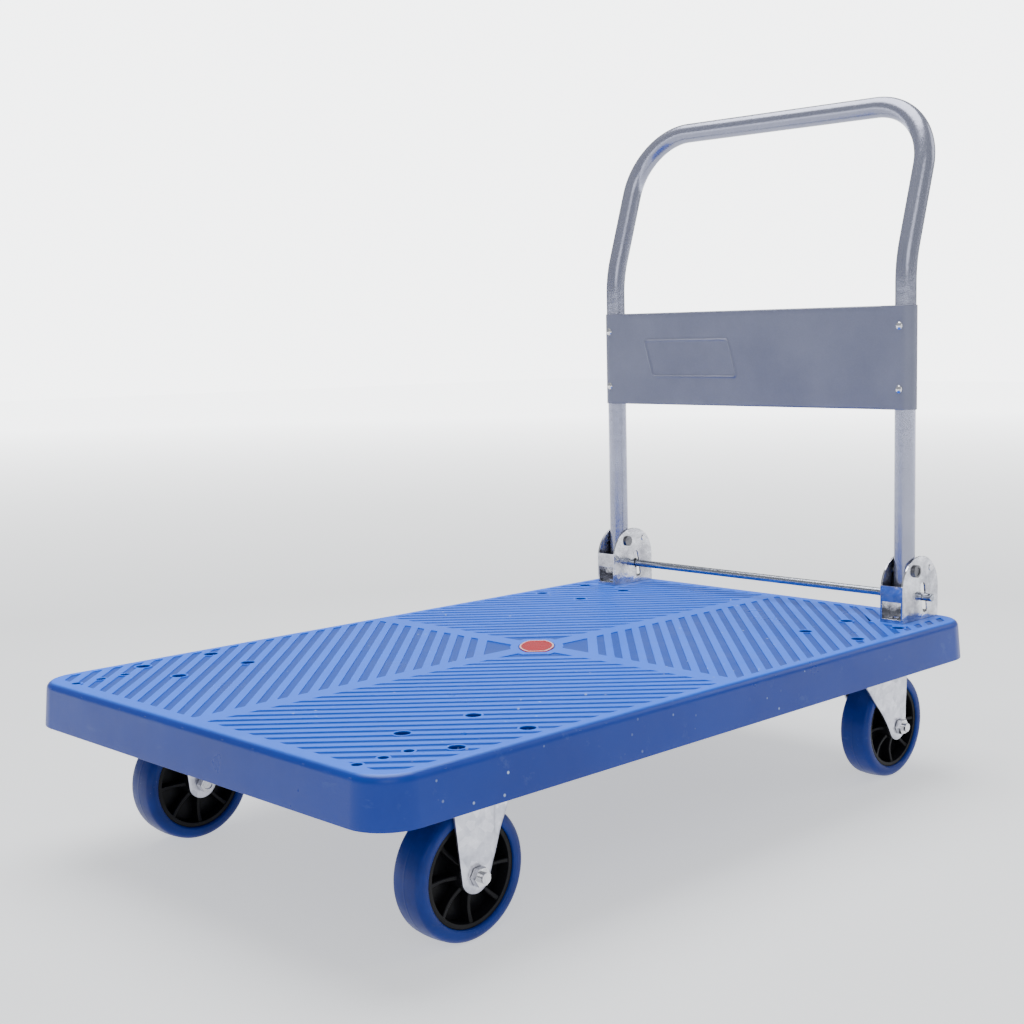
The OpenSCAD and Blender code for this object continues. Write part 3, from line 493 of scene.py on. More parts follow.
def quarterBands():
    half = deck["bandWidth"] / math.sqrt(2)
    low, endX, endY = deck["crossHalf"], deck["endX"], deck["endY"]
    bands = []
    for c in np.arange(deck["bandStart"], endX + endY - deck["bandWidth"], deck["bandStep"]):
        corners = []
        for k in (c - half, c + half):
            highX, lowX = min(endX, k - low), max(low, k - endY)
            corners.append([(highX, k - highX), (lowX, k - lowX)])
        loop = [corners[0][1], corners[0][0]]
        if corners[0][0][0] < endX <= corners[1][0][0] + 1e-6:
            loop.append((endX, low))
        loop += [corners[1][0], corners[1][1]]
        if corners[0][1][1] < endY <= corners[1][1][1] + 1e-6:
            loop.append((low, endY))
        loop = tidyLoop(np.array(loop), 0.5)
        if len(loop) > 2 and abs(area(loop)) > 30:
            bands.append(roundCorners(loop, 2.0))
    return bands


def roundCorners(loop, r):
    before, after = np.roll(loop, 1, 0), np.roll(loop, -1, 0)
    result = []
    for p, q, s in zip(before, loop, after):
        a, b = p - q, s - q
        a, b = a / np.linalg.norm(a), b / np.linalg.norm(b)
        start, end = q + a * r, q + b * r
        for t in (0, 0.33, 0.67, 1):
            result.append(start * (1 - t) ** 2 + q * 2 * t * (1 - t) + end * t ** 2)
    return np.array(result)


def buildDeck():
    shape = newShape()
    top, foot = deck["height"], 0.0
    reachX, reachY, r = deck["halfX"], deck["halfY"], deck["edge"]
    # Outer rings: up the drafted wall and round the edge; inner rings: the same, one wall further in.
    rings = []
    for a in np.linspace(0, np.pi / 2, 9):
        inset = deck["draft"] + r - r * math.cos(a)
        rings.append((inset, top - r + r * math.sin(a)))
    wall = [(0.0, 0.6)] + [(deck["draft"] * t, t * (top - r)) for t in (0.25, 0.5, 0.75)]
    outer = [(0.5, 0.0)] + wall + rings
    grid = [(roundedLoop(reachX - i, reachY - i, deck["corner"] - i), z) for i, z in outer]
    addGrid(shape, ringsToGrid(grid), wrapCols=True)
    innerTop, innerR = top - deck["skin"], r - deck["wall"] / 2
    inner = [(deck["wall"] - 0.5, 0.0), (deck["wall"], 0.6)]
    for a in np.linspace(0, np.pi / 2, 6):
        inset = deck["wall"] + deck["draft"] + innerR - innerR * math.cos(a)
        inner.append((inset, innerTop - innerR + innerR * math.sin(a)))
    innerGrid = [(roundedLoop(reachX - i, reachY - i, deck["corner"] - i), z) for i, z in inner]
    addGrid(shape, ringsToGrid(innerGrid), wrapCols=True)
    addGrid(shape, ringsToGrid([grid[0], innerGrid[0]]), wrapCols=True)
    flatTop, ceiling = grid[-1][0], innerGrid[-1][0]
    # Bands of all four quarters, cut round the wells, holes and bracket pads.
    bands = [band * np.array([sx, sy]) for band in quarterBands() for sx in signs for sy in signs]
    near = deck["crossHalf"]
    far = deck["recessEnd"] - near
    base = roundCorners(np.array([(near, near), (far, near), (near, far)]), 2.0)
    bands += [base * np.array([sx, sy]) for sx in signs for sy in signs]
    keepOut = [circleLoop(x, y, 9.2) for x, y in wells] + [circleLoop(x, y, 6.4) for x, y in rowHoles]
    for s in signs:
        low, high = s * deck["rowY"] - deck["padHalf"], s * deck["rowY"] + deck["padHalf"]
        start, end = deck["padLow"], deck["padHigh"]
        keepOut.append(np.array([(start, low), (end, low), (end, high), (start, high)]))
    keepOut.append(ovalLoop(84, 59))
    loops = [tidyLoop(loop) for loop in cutLoops(bands, keepOut)]
    seat = ovalLoop(67.0, 42.0)
    sunk = []
    for loop in loops + [seat]:
        deep = 0.9 if loop is seat else deck["bandDepth"]
        steps = [(0.0, 0.0), (0.1, 0.05), (0.28, 0.3), (0.45, 0.9), (0.7, 1.0)]
        walls = [(shrinkLoop(loop, inset) if inset else loop, top - deep * drop) for inset, drop in steps]
        addGrid(shape, ringsToGrid(walls), wrapCols=True)
        fillFlat(shape, [walls[-1][0]], walls[-1][1])
        sunk.append(loop)
    # Wells for the caster bolts and holes for the brackets: wall, seat, and a boss round each from below.
    circles, bosses = [], []
    for x, y in wells:
        profile = [(8.1, top), (7.7, top - 0.15), (7.5, top - 0.7), (7.5, 26.0), (4.25, 26.0), (4.25, 20.4),
                   (11.2, 20.4), (11.5, innerTop)]
        rings = [(circleLoop(x, y, a), z) for a, z in profile]
        addGrid(shape, ringsToGrid(rings), wrapCols=True)
        circles.append(rings[0][0])
        bosses.append(rings[-1][0])
    for x, y in rowHoles:
        profile = [(5.3, top), (4.9, top - 0.15), (4.75, top - 0.6), (4.75, 20.3), (5.1, 20.0), (8.8, 20.0),
                   (9.1, 20.4), (9.25, innerTop)]
        rings = [(circleLoop(x, y, a), z) for a, z in profile]
        addGrid(shape, ringsToGrid(rings), wrapCols=True)
        circles.append(rings[0][0])
        bosses.append(rings[-1][0])
    fillFlat(shape, [flatTop] + sunk + circles, top)
    fillFlat(shape, [ceiling] + bosses, innerTop)
    for points in shape["points"]:
        points[:, 2] += deck["foot"]
    piece = finishShape("deckShell", shape, "root", deckPlastic, ["deck"], sharp=50)
    addModifier(piece, "WEIGHTED_NORMAL", keep_sharp=True)


buildDeck()
print("stage: deck")

ribs = {"width": 3.2, "foot": 4.0, "pocket": 20.0, "top": 41.6, "seatX": 58.0, "seatY": 50.0, "swivelR": 66.0,
        "nutR": 9.5, "longRuns": (-248, -185, -112, -65, 0, 65, 112, 185, 248),
        "crossRuns": (-379, -190, -62, 62, 190, 379),
        "shortRuns": (-307, -223, 223, 307), "fan": (20, 55, 90, 125, 160, 200, 235, 270, 305, 340)}


def ribState(x, y):
    # 0 where a rib keeps its full depth, 1 over a caster's seat, a swivel or a nut, 2 in the middle ring.
    fromX, fromY = abs(x) - caster["x"], abs(y) - caster["y"]
    if math.hypot(x, y) < 15.4:
        return 2
    if abs(fromX) < ribs["seatX"] and abs(fromY) < ribs["seatY"]:
        return 1
    if math.hypot(fromX, fromY) < ribs["swivelR"]:
        return 1
    if min(math.hypot(abs(x) - place, abs(y) - deck["rowY"]) for place in rowPlaces) < ribs["nutR"]:
        return 1
    return 0


def addRib(shape, start, end, lift):
    start, end = np.array(start, float), np.array(end, float)
    length = np.linalg.norm(end - start)
    run = (end - start) / length
    across = np.array([-run[1], run[0]])
    places = np.arange(0, length + 0.25, 0.25)
    states = [ribState(*(start + run * min(p, length))) for p in places]
    begin = 0
    for i in range(1, len(places) + 1):
        if i < len(places) and states[i] == states[begin]:
            continue
        state, low, high = states[begin], places[begin], min(places[min(i, len(places) - 1)], length)
        begin = i
        if state == 2 or high - low < 0.5:
            continue
        foot = (ribs["pocket"] if state else ribs["foot"]) + lift
        half = ribs["width"] / 2
        section = [(half, ribs["top"]), (half - 0.25, foot + 0.5), (half - 0.6, foot), (-half + 0.6, foot),
                   (-half + 0.25, foot + 0.5), (-half, ribs["top"])]
        rows = []
        for p in (low, high):
            at = start + run * p
            rows.append([[*(at + across * s), deck["foot"] + z] for s, z in section])
        addGrid(shape, np.array(rows), wrapCols=True)
        addMesh(shape, rows[0], [list(range(6))])
        addMesh(shape, rows[1], [list(range(6))[::-1]])


def buildRibs():
    shape = newShape()
    reachX, reachY = 446.2, 286.2
    # Ribs that cross have feet at slightly different heights, so that no two faces lie in one plane.
    for y in ribs["longRuns"]:
        addRib(shape, (-reachX, y), (reachX, y), 0.0)
    for x in ribs["crossRuns"]:
        addRib(shape, (x, -reachY), (x, reachY), 0.12)
    for x in ribs["shortRuns"]:
        for s in signs:
            addRib(shape, (x, s * 112), (x, s * reachY), 0.12)
    for sx in signs:
        for sy in signs:
            addRib(shape, (0, 0), (sx * 244, sy * 171), 0.24)
            middle = np.array([sx * deck["rowX"], sy * deck["rowY"]])
            for k, angle in enumerate(ribs["fan"]):
                run = np.array([math.cos(math.radians(angle)), math.sin(math.radians(angle))])
                length = 46 if abs(run[1]) > 0.5 else 34
                addRib(shape, middle + run * 5.5, middle + run * length, 0.36 + 0.03 * k)
            # Pad that a caster's plate bears on.
            spot = np.array([sx * caster["x"], sy * caster["y"]])
            reach = np.array([ribs["seatX"], ribs["seatY"]])
            loops = [(*reach, 26.5), (*reach, 20.5), (*(reach - 0.5), 20.0)]
            rings = [(roundedLoop(a, b, 6.0, 6) + spot, deck["foot"] + z) for a, b, z in loops]
            addGrid(shape, ringsToGrid(rings), wrapCols=True)
            for loop, z in (rings[0], rings[-1]):
                fillFlat(shape, [loop], z)
    ring = softProfile([(13.8, 3.9), (17, 3.9), (17, 41.6), (13.8, 41.6)], 0.5)
    addLathe(shape, ring, (0, 0, deck["foot"]), "z", 48)
    finishShape("deckRibs", shape, "root", deckPlastic)


buildRibs()
print("stage: ribs")


# Badge: an enamelled oval with a raised rim and a plain low dome where a name would be.
def buildBadge():
    shape = newShape()
    oval = ovalLoop(64, 39)
    # Each step is a share of the oval's size and a height over the deck: wall, rim, ring, then the low dome.
    steps = [(1.0, -0.68), (1.0, 0.35), (0.985, 0.6), (0.96, 0.69), (0.91, 0.69), (0.88, 0.5), (0.87, 0.25),
             (0.84, 0.2), (0.6, 0.34), (0.3, 0.45), (0.04, 0.48)]
    rings = [(oval * s, deck["top"] + z) for s, z in steps]
    addGrid(shape, ringsToGrid(rings), wrapCols=True)
    fillFlat(shape, [rings[-1][0]], rings[-1][1])
    fillFlat(shape, [rings[0][0]], rings[0][1])
    finishShape("badgePlate", shape, "root", badgeEnamel, ["badge"], sharp=60)


buildBadge()
print("stage: badge")


# Handle: one bent tube, straight up, leaning back through a wide bend, then over two round shoulders.
handle = {"pivotX": 387.0, "pivotZ": 245.5, "legY": 232.0, "radius": 12.5, "wall": 1.5, "foot": 224.43,
          "bendZ": 585.5, "leanR": 150.0, "lean": math.radians(18), "shoulder": 82.0, "topZ": 800.0}


def handlePath():
    h = handle
    points = [(h["pivotX"], z) for z in np.linspace(h["foot"], h["bendZ"], 60)[:-1]]
    for a in np.linspace(0, h["lean"], 12):
        points.append((h["pivotX"] + h["leanR"] * (1 - math.cos(a)), h["bendZ"] + h["leanR"] * math.sin(a)))
    slope = np.array([math.sin(h["lean"]), math.cos(h["lean"])])
    start = np.array(points[-1])
    straight = (h["topZ"] - start[1]) / slope[1] - h["shoulder"]
    side = [(x, h["legY"], z) for x, z in points]
    for d in np.linspace(0, straight, 14)[1:]:
        x, z = start + slope * d
        side.append((x, h["legY"], z))
    origin = start + slope * straight
    for a in np.linspace(0, np.pi / 2, 28)[1:]:
        d = h["shoulder"] * math.sin(a)
        x, z = origin + slope * d
        side.append((x, h["legY"] - h["shoulder"] * (1 - math.cos(a)), z))
    side = np.array(side)
    other = (side * np.array([1, -1, 1]))[::-1]
    low, high = side[-1], other[0]
    middle = [low + (high - low) * t for t in np.linspace(0, 1, 26)[1:-1]]
    return np.vstack([side, middle, other])


def buildHandle():
    shape = newShape()
    addSweep(shape, handlePath(), handle["radius"], 40, handle["radius"] - handle["wall"])
    finishShape("handleTube", shape, "handle", handlePaint, ["handle_tube"], sharp=50)


buildHandle()
print("stage: handle")

# Panel: a sheet with flanged edges, ends wrapped round the legs, and an embossed frame.
panel = {"low": 437.0, "high": 559.0, "sheet": 1.2, "wrap": 12.6, "wrapTurn": 116.0, "flangeY": 207.0,
         "flange": 9.0, "bend": 2.4, "frameLow": 8.0, "frameLength": 146.0, "frameZ": 473.0,
         "frameHeight": 51.0,
         "slant": 15.0, "frameCorner": 7.0, "beadHeight": 1.5, "beadWidth": 1.3}


def buildPanel():
    p = panel
    outer = p["wrap"] + p["sheet"]
    face = handle["pivotX"] - outer
    # Plan of the outer surface: round one leg, straight across, round the other.
    turn = np.linspace(math.radians(p["wrapTurn"]), 0, 22)
    plan = [(handle["pivotX"] - outer * math.cos(a), handle["legY"] + outer * math.sin(a)) for a in turn]
    # Columns lie close together where the frame is, and further apart elsewhere.
    stretches = ((232, 190, 14), (190, 176, 6), (176, -4, 225), (-4, -190, 30), (-190, -232, 14))
    straight = np.concatenate([np.linspace(*stretch)[1:] for stretch in stretches])
    straight = np.unique(np.concatenate([straight, [p["flangeY"], -p["flangeY"]]]))[::-1]
    plan += [(face, y) for y in straight]
    plan += [(x, -y) for x, y in plan[:len(turn)][::-1][1:]]
    plan = np.array(plan)
    bend = p["bend"]
    rows = np.concatenate([np.linspace(p["low"] + bend, 466, 6), np.linspace(466, 530, 86)[1:],
                           np.linspace(530, p["high"] - bend, 6)[1:]])
    # The frame's line is a bead whose height falls off as a bell curve across a slanted outline.
    y, z = plan[:, 1][None, :], rows[:, None]
    s = z - p["frameZ"]
    left = p["frameLow"] + p["slant"] * s / p["frameHeight"]
    ends = np.minimum(y - left, left + p["frameLength"] - y) * 0.96
    edges, r = np.minimum(s, p["frameHeight"] - s), p["frameCorner"]
    inside = np.where((ends < r) & (edges < r), r - np.hypot(r - ends, r - edges), np.minimum(ends, edges))
    bead = np.exp(-((inside - 1.6) / p["beadWidth"]) ** 2) * p["beadHeight"]
    grid = np.zeros((len(rows), len(plan), 3))
    grid[..., 0] = plan[:, 0] - bead
    grid[..., 1] = y
    grid[..., 2] = z
    shape = newShape()
    addGrid(shape, grid)
    inFlange = np.abs(plan[:, 1]) <= p["flangeY"] + 1e-6
    for sign, start in ((1, p["high"] - bend), (-1, p["low"] + bend)):
        arcs = [(bend * (1 - math.cos(a)), bend * math.sin(a)) for a in np.linspace(0, np.pi / 2, 7)]
        arcs += [(d, bend) for d in np.linspace(bend, p["flange"], 4)[1:]]
        sheet = plan[inFlange]
        strip = np.array([[[x + back, yy, start + sign * up] for x, yy in sheet] for back, up in arcs])
        addGrid(shape, strip, flip=sign < 0)
        for side in (1, -1):
            ends = plan[(plan[:, 1] * side >= p["flangeY"] - 1e-6)]
            heights = start + sign * np.linspace(0, bend, 3)
            strip = np.array([[[x, yy, h] for x, yy in ends] for h in heights])
            addGrid(shape, strip, flip=sign < 0)
    replaced = ["handle_panel"]
    piece = finishShape("handlePanel", shape, "handle", panelPaint, replaced, closed=False)
    addModifier(piece, "SOLIDIFY", thickness=p["sheet"] * mm, offset=-1.0, use_even_offset=True)


buildPanel()
print("stage: panel")


# Lock rod with rounded ends, and the two coiled springs that lift it.
lock = {"reach": 259.6, "radius": 4.75, "x": 405.5, "z": 212.5, "hookX": 420.0, "hookZ": 246.5, "turns": 13,
        "coil": 3.2, "wire": 0.62}


def buildLock():
    shape = newShape()
    reach, r = lock["reach"], lock["radius"]
    profile = [(0.01, -reach), (r - 1.6, -reach), (r - 0.7, -reach + 0.25), (r - 0.15, -reach + 0.9)]
    profile.append((r, -reach + 1.7))
    profile += [(r, y) for y in np.linspace(-reach + 4, reach - 4, 30)]
    profile += [(a, -b) for a, b in profile[:5][::-1]]
    addLathe(shape, profile, (lock["x"], 0, lock["z"]), "y", 40, closed=False)
    finishShape("lockRod", shape, "lock", rodSteel, ["lock_rod"])
    for side, name in ((1, "lock_spring_left"), (-1, "lock_spring_right")):
        low, high = np.array([lock["x"], lock["z"]]), np.array([lock["hookX"], lock["hookZ"]])
        axis = (high - low) / np.linalg.norm(high - low)
        across = np.array([-axis[1], axis[0]])
        run = np.linalg.norm(high - low)
        r = lock["coil"]
        angle = np.linspace(0, 2 * np.pi * lock["turns"], lock["turns"] * 20)
        along = 8.2 + (run - 8.2 - 5.6) * angle / angle[-1]
        # The wire leaves the coil at each end, reaches the middle and hooks round its pin.
        coil = np.stack([along, r * np.cos(angle), r * np.sin(angle)], -1)
        hookLow = [(3.9 * math.cos(a) * 1.42, 5.45 * math.sin(a), 0.0) for a in np.linspace(-2.6, -0.2, 14)]
        hookHigh = [(run - 3.2 * math.cos(a), 3.2 * math.sin(a), 0.0) for a in np.linspace(0.3, 2.6, 12)]
        local = np.vstack([hookLow, coil, hookHigh])
        points = np.zeros((len(local), 3))
        points[:, 0] = low[0] + axis[0] * local[:, 0] + across[0] * local[:, 1]
        points[:, 1] = side * handle["legY"] + local[:, 2]
        points[:, 2] = low[1] + axis[1] * local[:, 0] + across[1] * local[:, 1]
        shape = newShape()
        addSweep(shape, points, lock["wire"], 10)
        label = "lockSpringLeft" if side > 0 else "lockSpringRight"
        finishShape(label, shape, "root", springSteel, [name])


buildLock()
print("stage: lock")


# A flat plate cut to an outline, filled with a fine net so that it can be pressed into shape.
def netOf(outline, holes, step):
    low, high = outline.min(0), outline.max(0)
    columns, rows = [np.arange(low[k] + step / 2, high[k], step) for k in (0, 1)]
    gx, gz = np.meshgrid(columns, rows)
    inner = np.stack([gx.ravel(), gz.ravel()], -1)
    inner = inner[edgeDistance(inner, outline, signed=True) > step * 0.5]
    for hole in holes:
        inner = inner[edgeDistance(inner, hole, signed=True) < -step * 0.5]
    points, triangles, owners = triangulate([outline] + list(holes), inner)
    chosen = [t for t, own in zip(triangles, owners) if 0 in own and not any(o > 0 for o in own)]
    return points, chosen


def edgeDistance(points, loop, signed=False):
    a, b = loop, np.roll(loop, -1, 0)
    d = b - a
    best = np.full(len(points), 1e9)
    crossings = np.zeros(len(points), int)
    for p, q, r in zip(a, b, d):
        t = np.clip(((points - p) @ r) / (r @ r), 0, 1)
        best = np.minimum(best, np.linalg.norm(points - (p + t[:, None] * r), axis=1))
        straddles = (p[1] > points[:, 1]) != (q[1] > points[:, 1])
        with np.errstate(divide="ignore", invalid="ignore"):
            at = p[0] + (points[:, 1] - p[1]) * r[0] / (r[1] if r[1] else 1e-12)
        crossings += (straddles & (points[:, 0] < at)).astype(int)
    return np.where(crossings % 2 == 1, best, -best) if signed else best


fork = {"inner": 23.0, "sheet": 2.6, "foot": 16.5, "axleZ": 62.5}


def legOutline(topZ, leftSide, rightTop, flare):
    # A round foot about the axle; one side runs up through given points, the other flares in a hollow curve.
    r = fork["foot"]
    angle = np.linspace(math.radians(200), math.radians(340), 20)
    foot = [(r * math.cos(a), r * math.sin(a)) for a in angle]
    heights = np.linspace(0, 1, 22)
    endX, endZ = foot[-1]
    right = [(endX + 0.4 + (rightTop - endX) * t ** flare, endZ + (topZ - endZ) * t) for t in heights[1:]]
    knots = [(foot[0][1], foot[0][0])] + leftSide
    left = [(np.interp(z, [k[0] for k in knots], [k[1] for k in knots]), z) for x, z in right]
    return np.array(foot + right + left[::-1])


def addLeg(shape, outline, centre, mirror, side, crease, top):
    # Pressed sheet: edges curl in, a raised tongue runs down to the axle, the flare beside it lies deeper.
    points, triangles = netOf(outline, [circleLoop(0, 0, 5.2, 24)], 1.9)
    edge = edgeDistance(points, outline)
    x, z = points[:, 0], points[:, 1]
    curl = -1.9 * (1 - smoothStep(edge, 0.0, 3.4)) ** 2
    line = crease[0] + (crease[1] - crease[0]) * np.clip(z / top, 0, 1)
    gusset = smoothStep(x - line, 0.0, 6.0) * smoothStep(z, 14.0, 40.0)
    tongue = 1.0 * smoothStep(edge, 3.0, 7.0) * (1 - smoothStep(z, 30.0, 55.0))
    dish = -0.6 * (1 - smoothStep(np.hypot(x, z), 9.0, 12.0))
    outwards = curl - 2.2 * gusset + tongue * 0.6 + dish - 0.6
    y = fork["inner"] + fork["sheet"] + outwards
    outer = np.column_stack([centre[0] + mirror * x, centre[1] + side * y, fork["axleZ"] + z])
    inner = outer.copy()
    inner[:, 1] -= side * (fork["sheet"] - 0.5)
    count = len(points)
    faces = [list(t) for t in triangles] + [[i + count for i in t][::-1] for t in triangles]
    for loop in outlineOf(triangles):
        faces += [[loop[i], loop[i - 1], loop[i - 1] + count, loop[i] + count] for i in range(len(loop))]
    addMesh(shape, np.vstack([outer, inner]), faces)


def addPlate(shape, halfX, halfY, corner, low, high, centre, holes=(), soft=0.5):
    loops = [(halfX - soft, halfY - soft, low), (halfX, halfY, low + soft), (halfX, halfY, high - soft),
             (halfX - soft, halfY - soft, high)]
    rings = [(roundedLoop(a, b, corner, 8) + np.array(centre), z) for a, b, z in loops]
    addGrid(shape, ringsToGrid(rings), wrapCols=True)
    circles = [circleLoop(x, y, r, 24) for x, y, r in holes]
    for loop, z in (rings[0], rings[-1]):
        fillFlat(shape, [loop] + circles, z)
    for loop in circles:
        addGrid(shape, ringsToGrid([(loop, low), (loop, high)]), wrapCols=True)


def addTopPlate(shape, x, y):
    holes = [(x + sx * caster["boltX"], y + sy * caster["boltY"], caster["boltHole"])
             for sx in signs for sy in signs]
    low, high = caster["plateLow"], caster["plateHigh"]
    addPlate(shape, caster["halfX"], caster["halfY"], caster["corner"], low, high, (x, y), holes)


def addFillet(shape, low, high, y, out):
    # Quarter round where the sheet turns from the leg into the plate.
    r, under = 6, caster["plateLow"] + 0.3
    turn = np.linspace(0, np.pi / 2, 8)
    rows = []
    for x in np.linspace(low, high, 12):
        row = [[x, y + out * (25.0 + r * (1 - math.cos(a))), under - r + r * math.sin(a)] for a in turn]
        rows.append(row + [[x, y + out * 22.9, under], [x, y + out * 22.9, under - 6.3]])
    grid = np.array(rows)
    addGrid(shape, grid, wrapCols=True)
    addMesh(shape, grid[0], [list(range(10))])
    addMesh(shape, grid[-1], [list(range(10))[::-1]])


def buildForks():
    rise = caster["plateLow"] - fork["axleZ"]
    outline = legOutline(rise, [(rise, -27.0)], 63.0, 1.2)
    for side, name in ((1, "left"), (-1, "right")):
        shape = newShape()
        y = side * caster["y"]
        addTopPlate(shape, -caster["x"], y)
        for out in signs:
            addLeg(shape, outline, (-caster["frontAxle"], y), 1, out, (16.0, 22.0), rise)
            addFillet(shape, -336.0, -248.0, y, out)
        label, replaced = "frontFork" + name.title(), ["front_fork_" + name]
        finishShape(label, shape, "root", forkZinc, replaced, sharp=40)
    crown = caster["crown"]
    rearRise = crown + 2.6 - fork["axleZ"]
    outline = legOutline(rearRise, [(63.5, -19.0), (rearRise, 24.0)], 90.0, 1.15)
    # Half section of the round crown: underside, rolled edge, ball seat and collar.
    section = [(6.2, -0.2), (27, -0.2), (33.6, 1.2), (33.6, 2.8), (27.5, 2.9), (27, 3.0), (19, 3.0),
               (18.6, 5.8), (6.2, 5.8)]
    for side, name in ((1, "left"), (-1, "right")):
        shape = newShape()
        y = side * caster["y"]
        for out in signs:
            addLeg(shape, outline, (caster["rearAxle"], y), -1, out, (16.0, 26.0), rearRise)
        addPlate(shape, 34, 24.2, 9, crown, crown + 3, (caster["x"] + 8, y), soft=0.6)
        cup = softProfile([(r, crown + z) for r, z in section], 0.6)
        addLathe(shape, cup, (caster["x"], y, 0), "z", 72)
        label, replaced = "rearFork" + name.title(), ["rear_fork_" + name]
        finishShape(label, shape, "swivel_" + name, forkZinc, replaced, sharp=40)
        shape = newShape()
        addTopPlate(shape, caster["x"], y)
        label, replaced = "rearPlate" + name.title(), ["rear_plate_" + name]
        finishShape(label, shape, "root", forkZinc, replaced)


buildForks()
print("stage: forks")

wheel = {"radius": 62.5, "half": 19.0, "seat": 49.4, "hub": 49.3, "rimHalf": 16.4, "boss": 22.0, "spokes": 8,
         "sleeve": 9.95}


def tyreProfile():
    # Flat side band, round shoulder, low crown with a faint moulding line along the middle.
    seat, half = wheel["seat"], wheel["half"]
    side = [(seat, half - 1.6), (seat + 0.8, half - 0.6), (seat + 2.2, half - 0.05), (seat + 5.0, half)]
    side += [(54.9 + 7 * math.sin(a) - 0.2, 12 + 7 * math.cos(a)) for a in np.linspace(0.12, 1.4, 9)]
    crown = ((0.55, 9.6), (0.2, 6.0), (0.08, 2.6), (0.06, 0.5), (0.0, 0.22))
    side += [(wheel["radius"] - drop, y) for drop, y in crown]
    return side + [(r, -y) for r, y in side[::-1]]


def buildWheel(label, body, centre, tyreNode, hubNode, bearingNode):
    shape = newShape()
    addLathe(shape, tyreProfile(), centre, "y", 144)
    finishShape(label + "Tyre", shape, body, tyreRubber, [tyreNode], sharp=50)
    shape = newShape()
    rim, edge = wheel["hub"], wheel["rimHalf"]
    profile = [(44.6, edge), (rim, edge), (rim, -edge), (44.6, -edge), (44.0, -3), (44.0, 3)]
    addLathe(shape, softProfile(profile, 0.7), centre, "y", 96)
    web = softProfile([(15, 2.6), (30, 1.9), (45, 2.4), (45, -2.4), (30, -1.9), (15, -2.6)], 0.4)
    addLathe(shape, web, centre, "y", 96)
    end = wheel["boss"]
    upper = [(10.1, end), (13.6, end), (15.6, end - 2.5), (16.4, 4)]
    profile = upper + [(r, -y) for r, y in upper[::-1]]
    addLathe(shape, softProfile(profile, 0.7), centre, "y", 64)
    for k in range(wheel["spokes"]):
        a = 2 * math.pi * k / wheel["spokes"]
        run, across = np.array([math.cos(a), math.sin(a)]), np.array([-math.sin(a), math.cos(a)])
        rows = []
        for t in np.linspace(0, 1, 7):
            r, reach = 14.5 + t * 30.6, 15.5 - 3.2 * math.sin(math.pi * t)
            half = 1.7 + 0.5 * (2 * t - 1) ** 2
            upper = [(half, -reach + 0.6), (half, reach - 0.6), (half - 0.7, reach), (0.7 - half, reach)]
            section = upper + [(-s, -y) for s, y in upper]
            row = [(*(run * r + across * s), y) for s, y in section]
            rows.append([[centre[0] + x, centre[1] + y, centre[2] + z] for x, z, y in row])
        grid = np.array(rows)
        addGrid(shape, grid, wrapCols=True)
        addMesh(shape, grid[0], [list(range(8))])
        addMesh(shape, grid[-1], [list(range(8))[::-1]])
    finishShape(label + "Hub", shape, body, hubPlastic, [hubNode])
    shape = newShape()
    r = wheel["sleeve"]
    addLathe(shape, softProfile([(7.1, end), (r, end), (r, -end), (7.1, -end)], 0.5), centre, "y", 48)
    finishShape(label + "Bearing", shape, body, bearingNylon, [bearingNode])


for place, x in (("front", -caster["frontAxle"]), ("rear", caster["rearAxle"])):
    for hand, y in (("left", caster["y"]), ("right", -caster["y"])):
        buildWheel(place + hand.title(), "wheel_" + place + "_" + hand, (x, y, fork["axleZ"]),
                   place + "_tyre_" + hand, place + "_hub_" + hand, place + "_bearing_" + hand)
print("stage: wheels")

# CAD nodes that are shown as they are: small edges rounded, smooth normals, and a finish each.
shownNodes = {
    "bracket_left": (bracketZinc, 0.7), "bracket_right": (bracketZinc, 0.7),
    "bracket_bolts": (brightSteel, 0.5), "bracket_washers": (brightSteel, 0.3),
    "bracket_nuts": (brightSteel, 0.4),
    "pivot_pin_left": (springSteel, 0.5), "pivot_pin_right": (springSteel, 0.5),
    "leg_plugs": (blackPlastic, 0.3), "panel_screws": (brightSteel, 0.3),
    "rod_clips": (blackPlastic, 0.2), "spring_pins": (brightSteel, 0.4),
    "caster_bolts": (springSteel, 0.5), "caster_washers": (springSteel, 0.3),
    "caster_nuts": (brightSteel, 0.4),
    "front_axle_bolts": (brightSteel, 0.6), "front_axle_sleeves": (brightSteel, 0.2),
    "front_axle_nuts": (brightSteel, 0.6),
    "rear_kingpin_left": (brightSteel, 0.5), "rear_kingpin_right": (brightSteel, 0.5),
    "rear_race_cap_left": (forkZinc, 0.4), "rear_race_cap_right": (forkZinc, 0.4),
    "rear_balls_left": (brightSteel, 0.0), "rear_balls_right": (brightSteel, 0.0),
    "rear_axle_bolt_left": (brightSteel, 0.6), "rear_axle_bolt_right": (brightSteel, 0.6),
    "rear_axle_sleeve_left": (brightSteel, 0.2), "rear_axle_sleeve_right": (brightSteel, 0.2),
    "rear_axle_nut_left": (brightSteel, 0.6), "rear_axle_nut_right": (brightSteel, 0.6),
}
for name, (material, soft) in shownNodes.items():
    piece = nodes[name]
    piece.data.materials.clear()
    piece.data.materials.append(material)
    addModifier(piece, "WELD", merge_threshold=0.00001)
    if soft:
        addModifier(piece, "BEVEL", width=soft * mm, segments=3, limit_method="ANGLE",
                    angle_limit=math.radians(35), use_clamp_overlap=True, harden_normals=False)
    addModifier(piece, "WEIGHTED_NORMAL", keep_sharp=False)
print("stage: cad nodes")


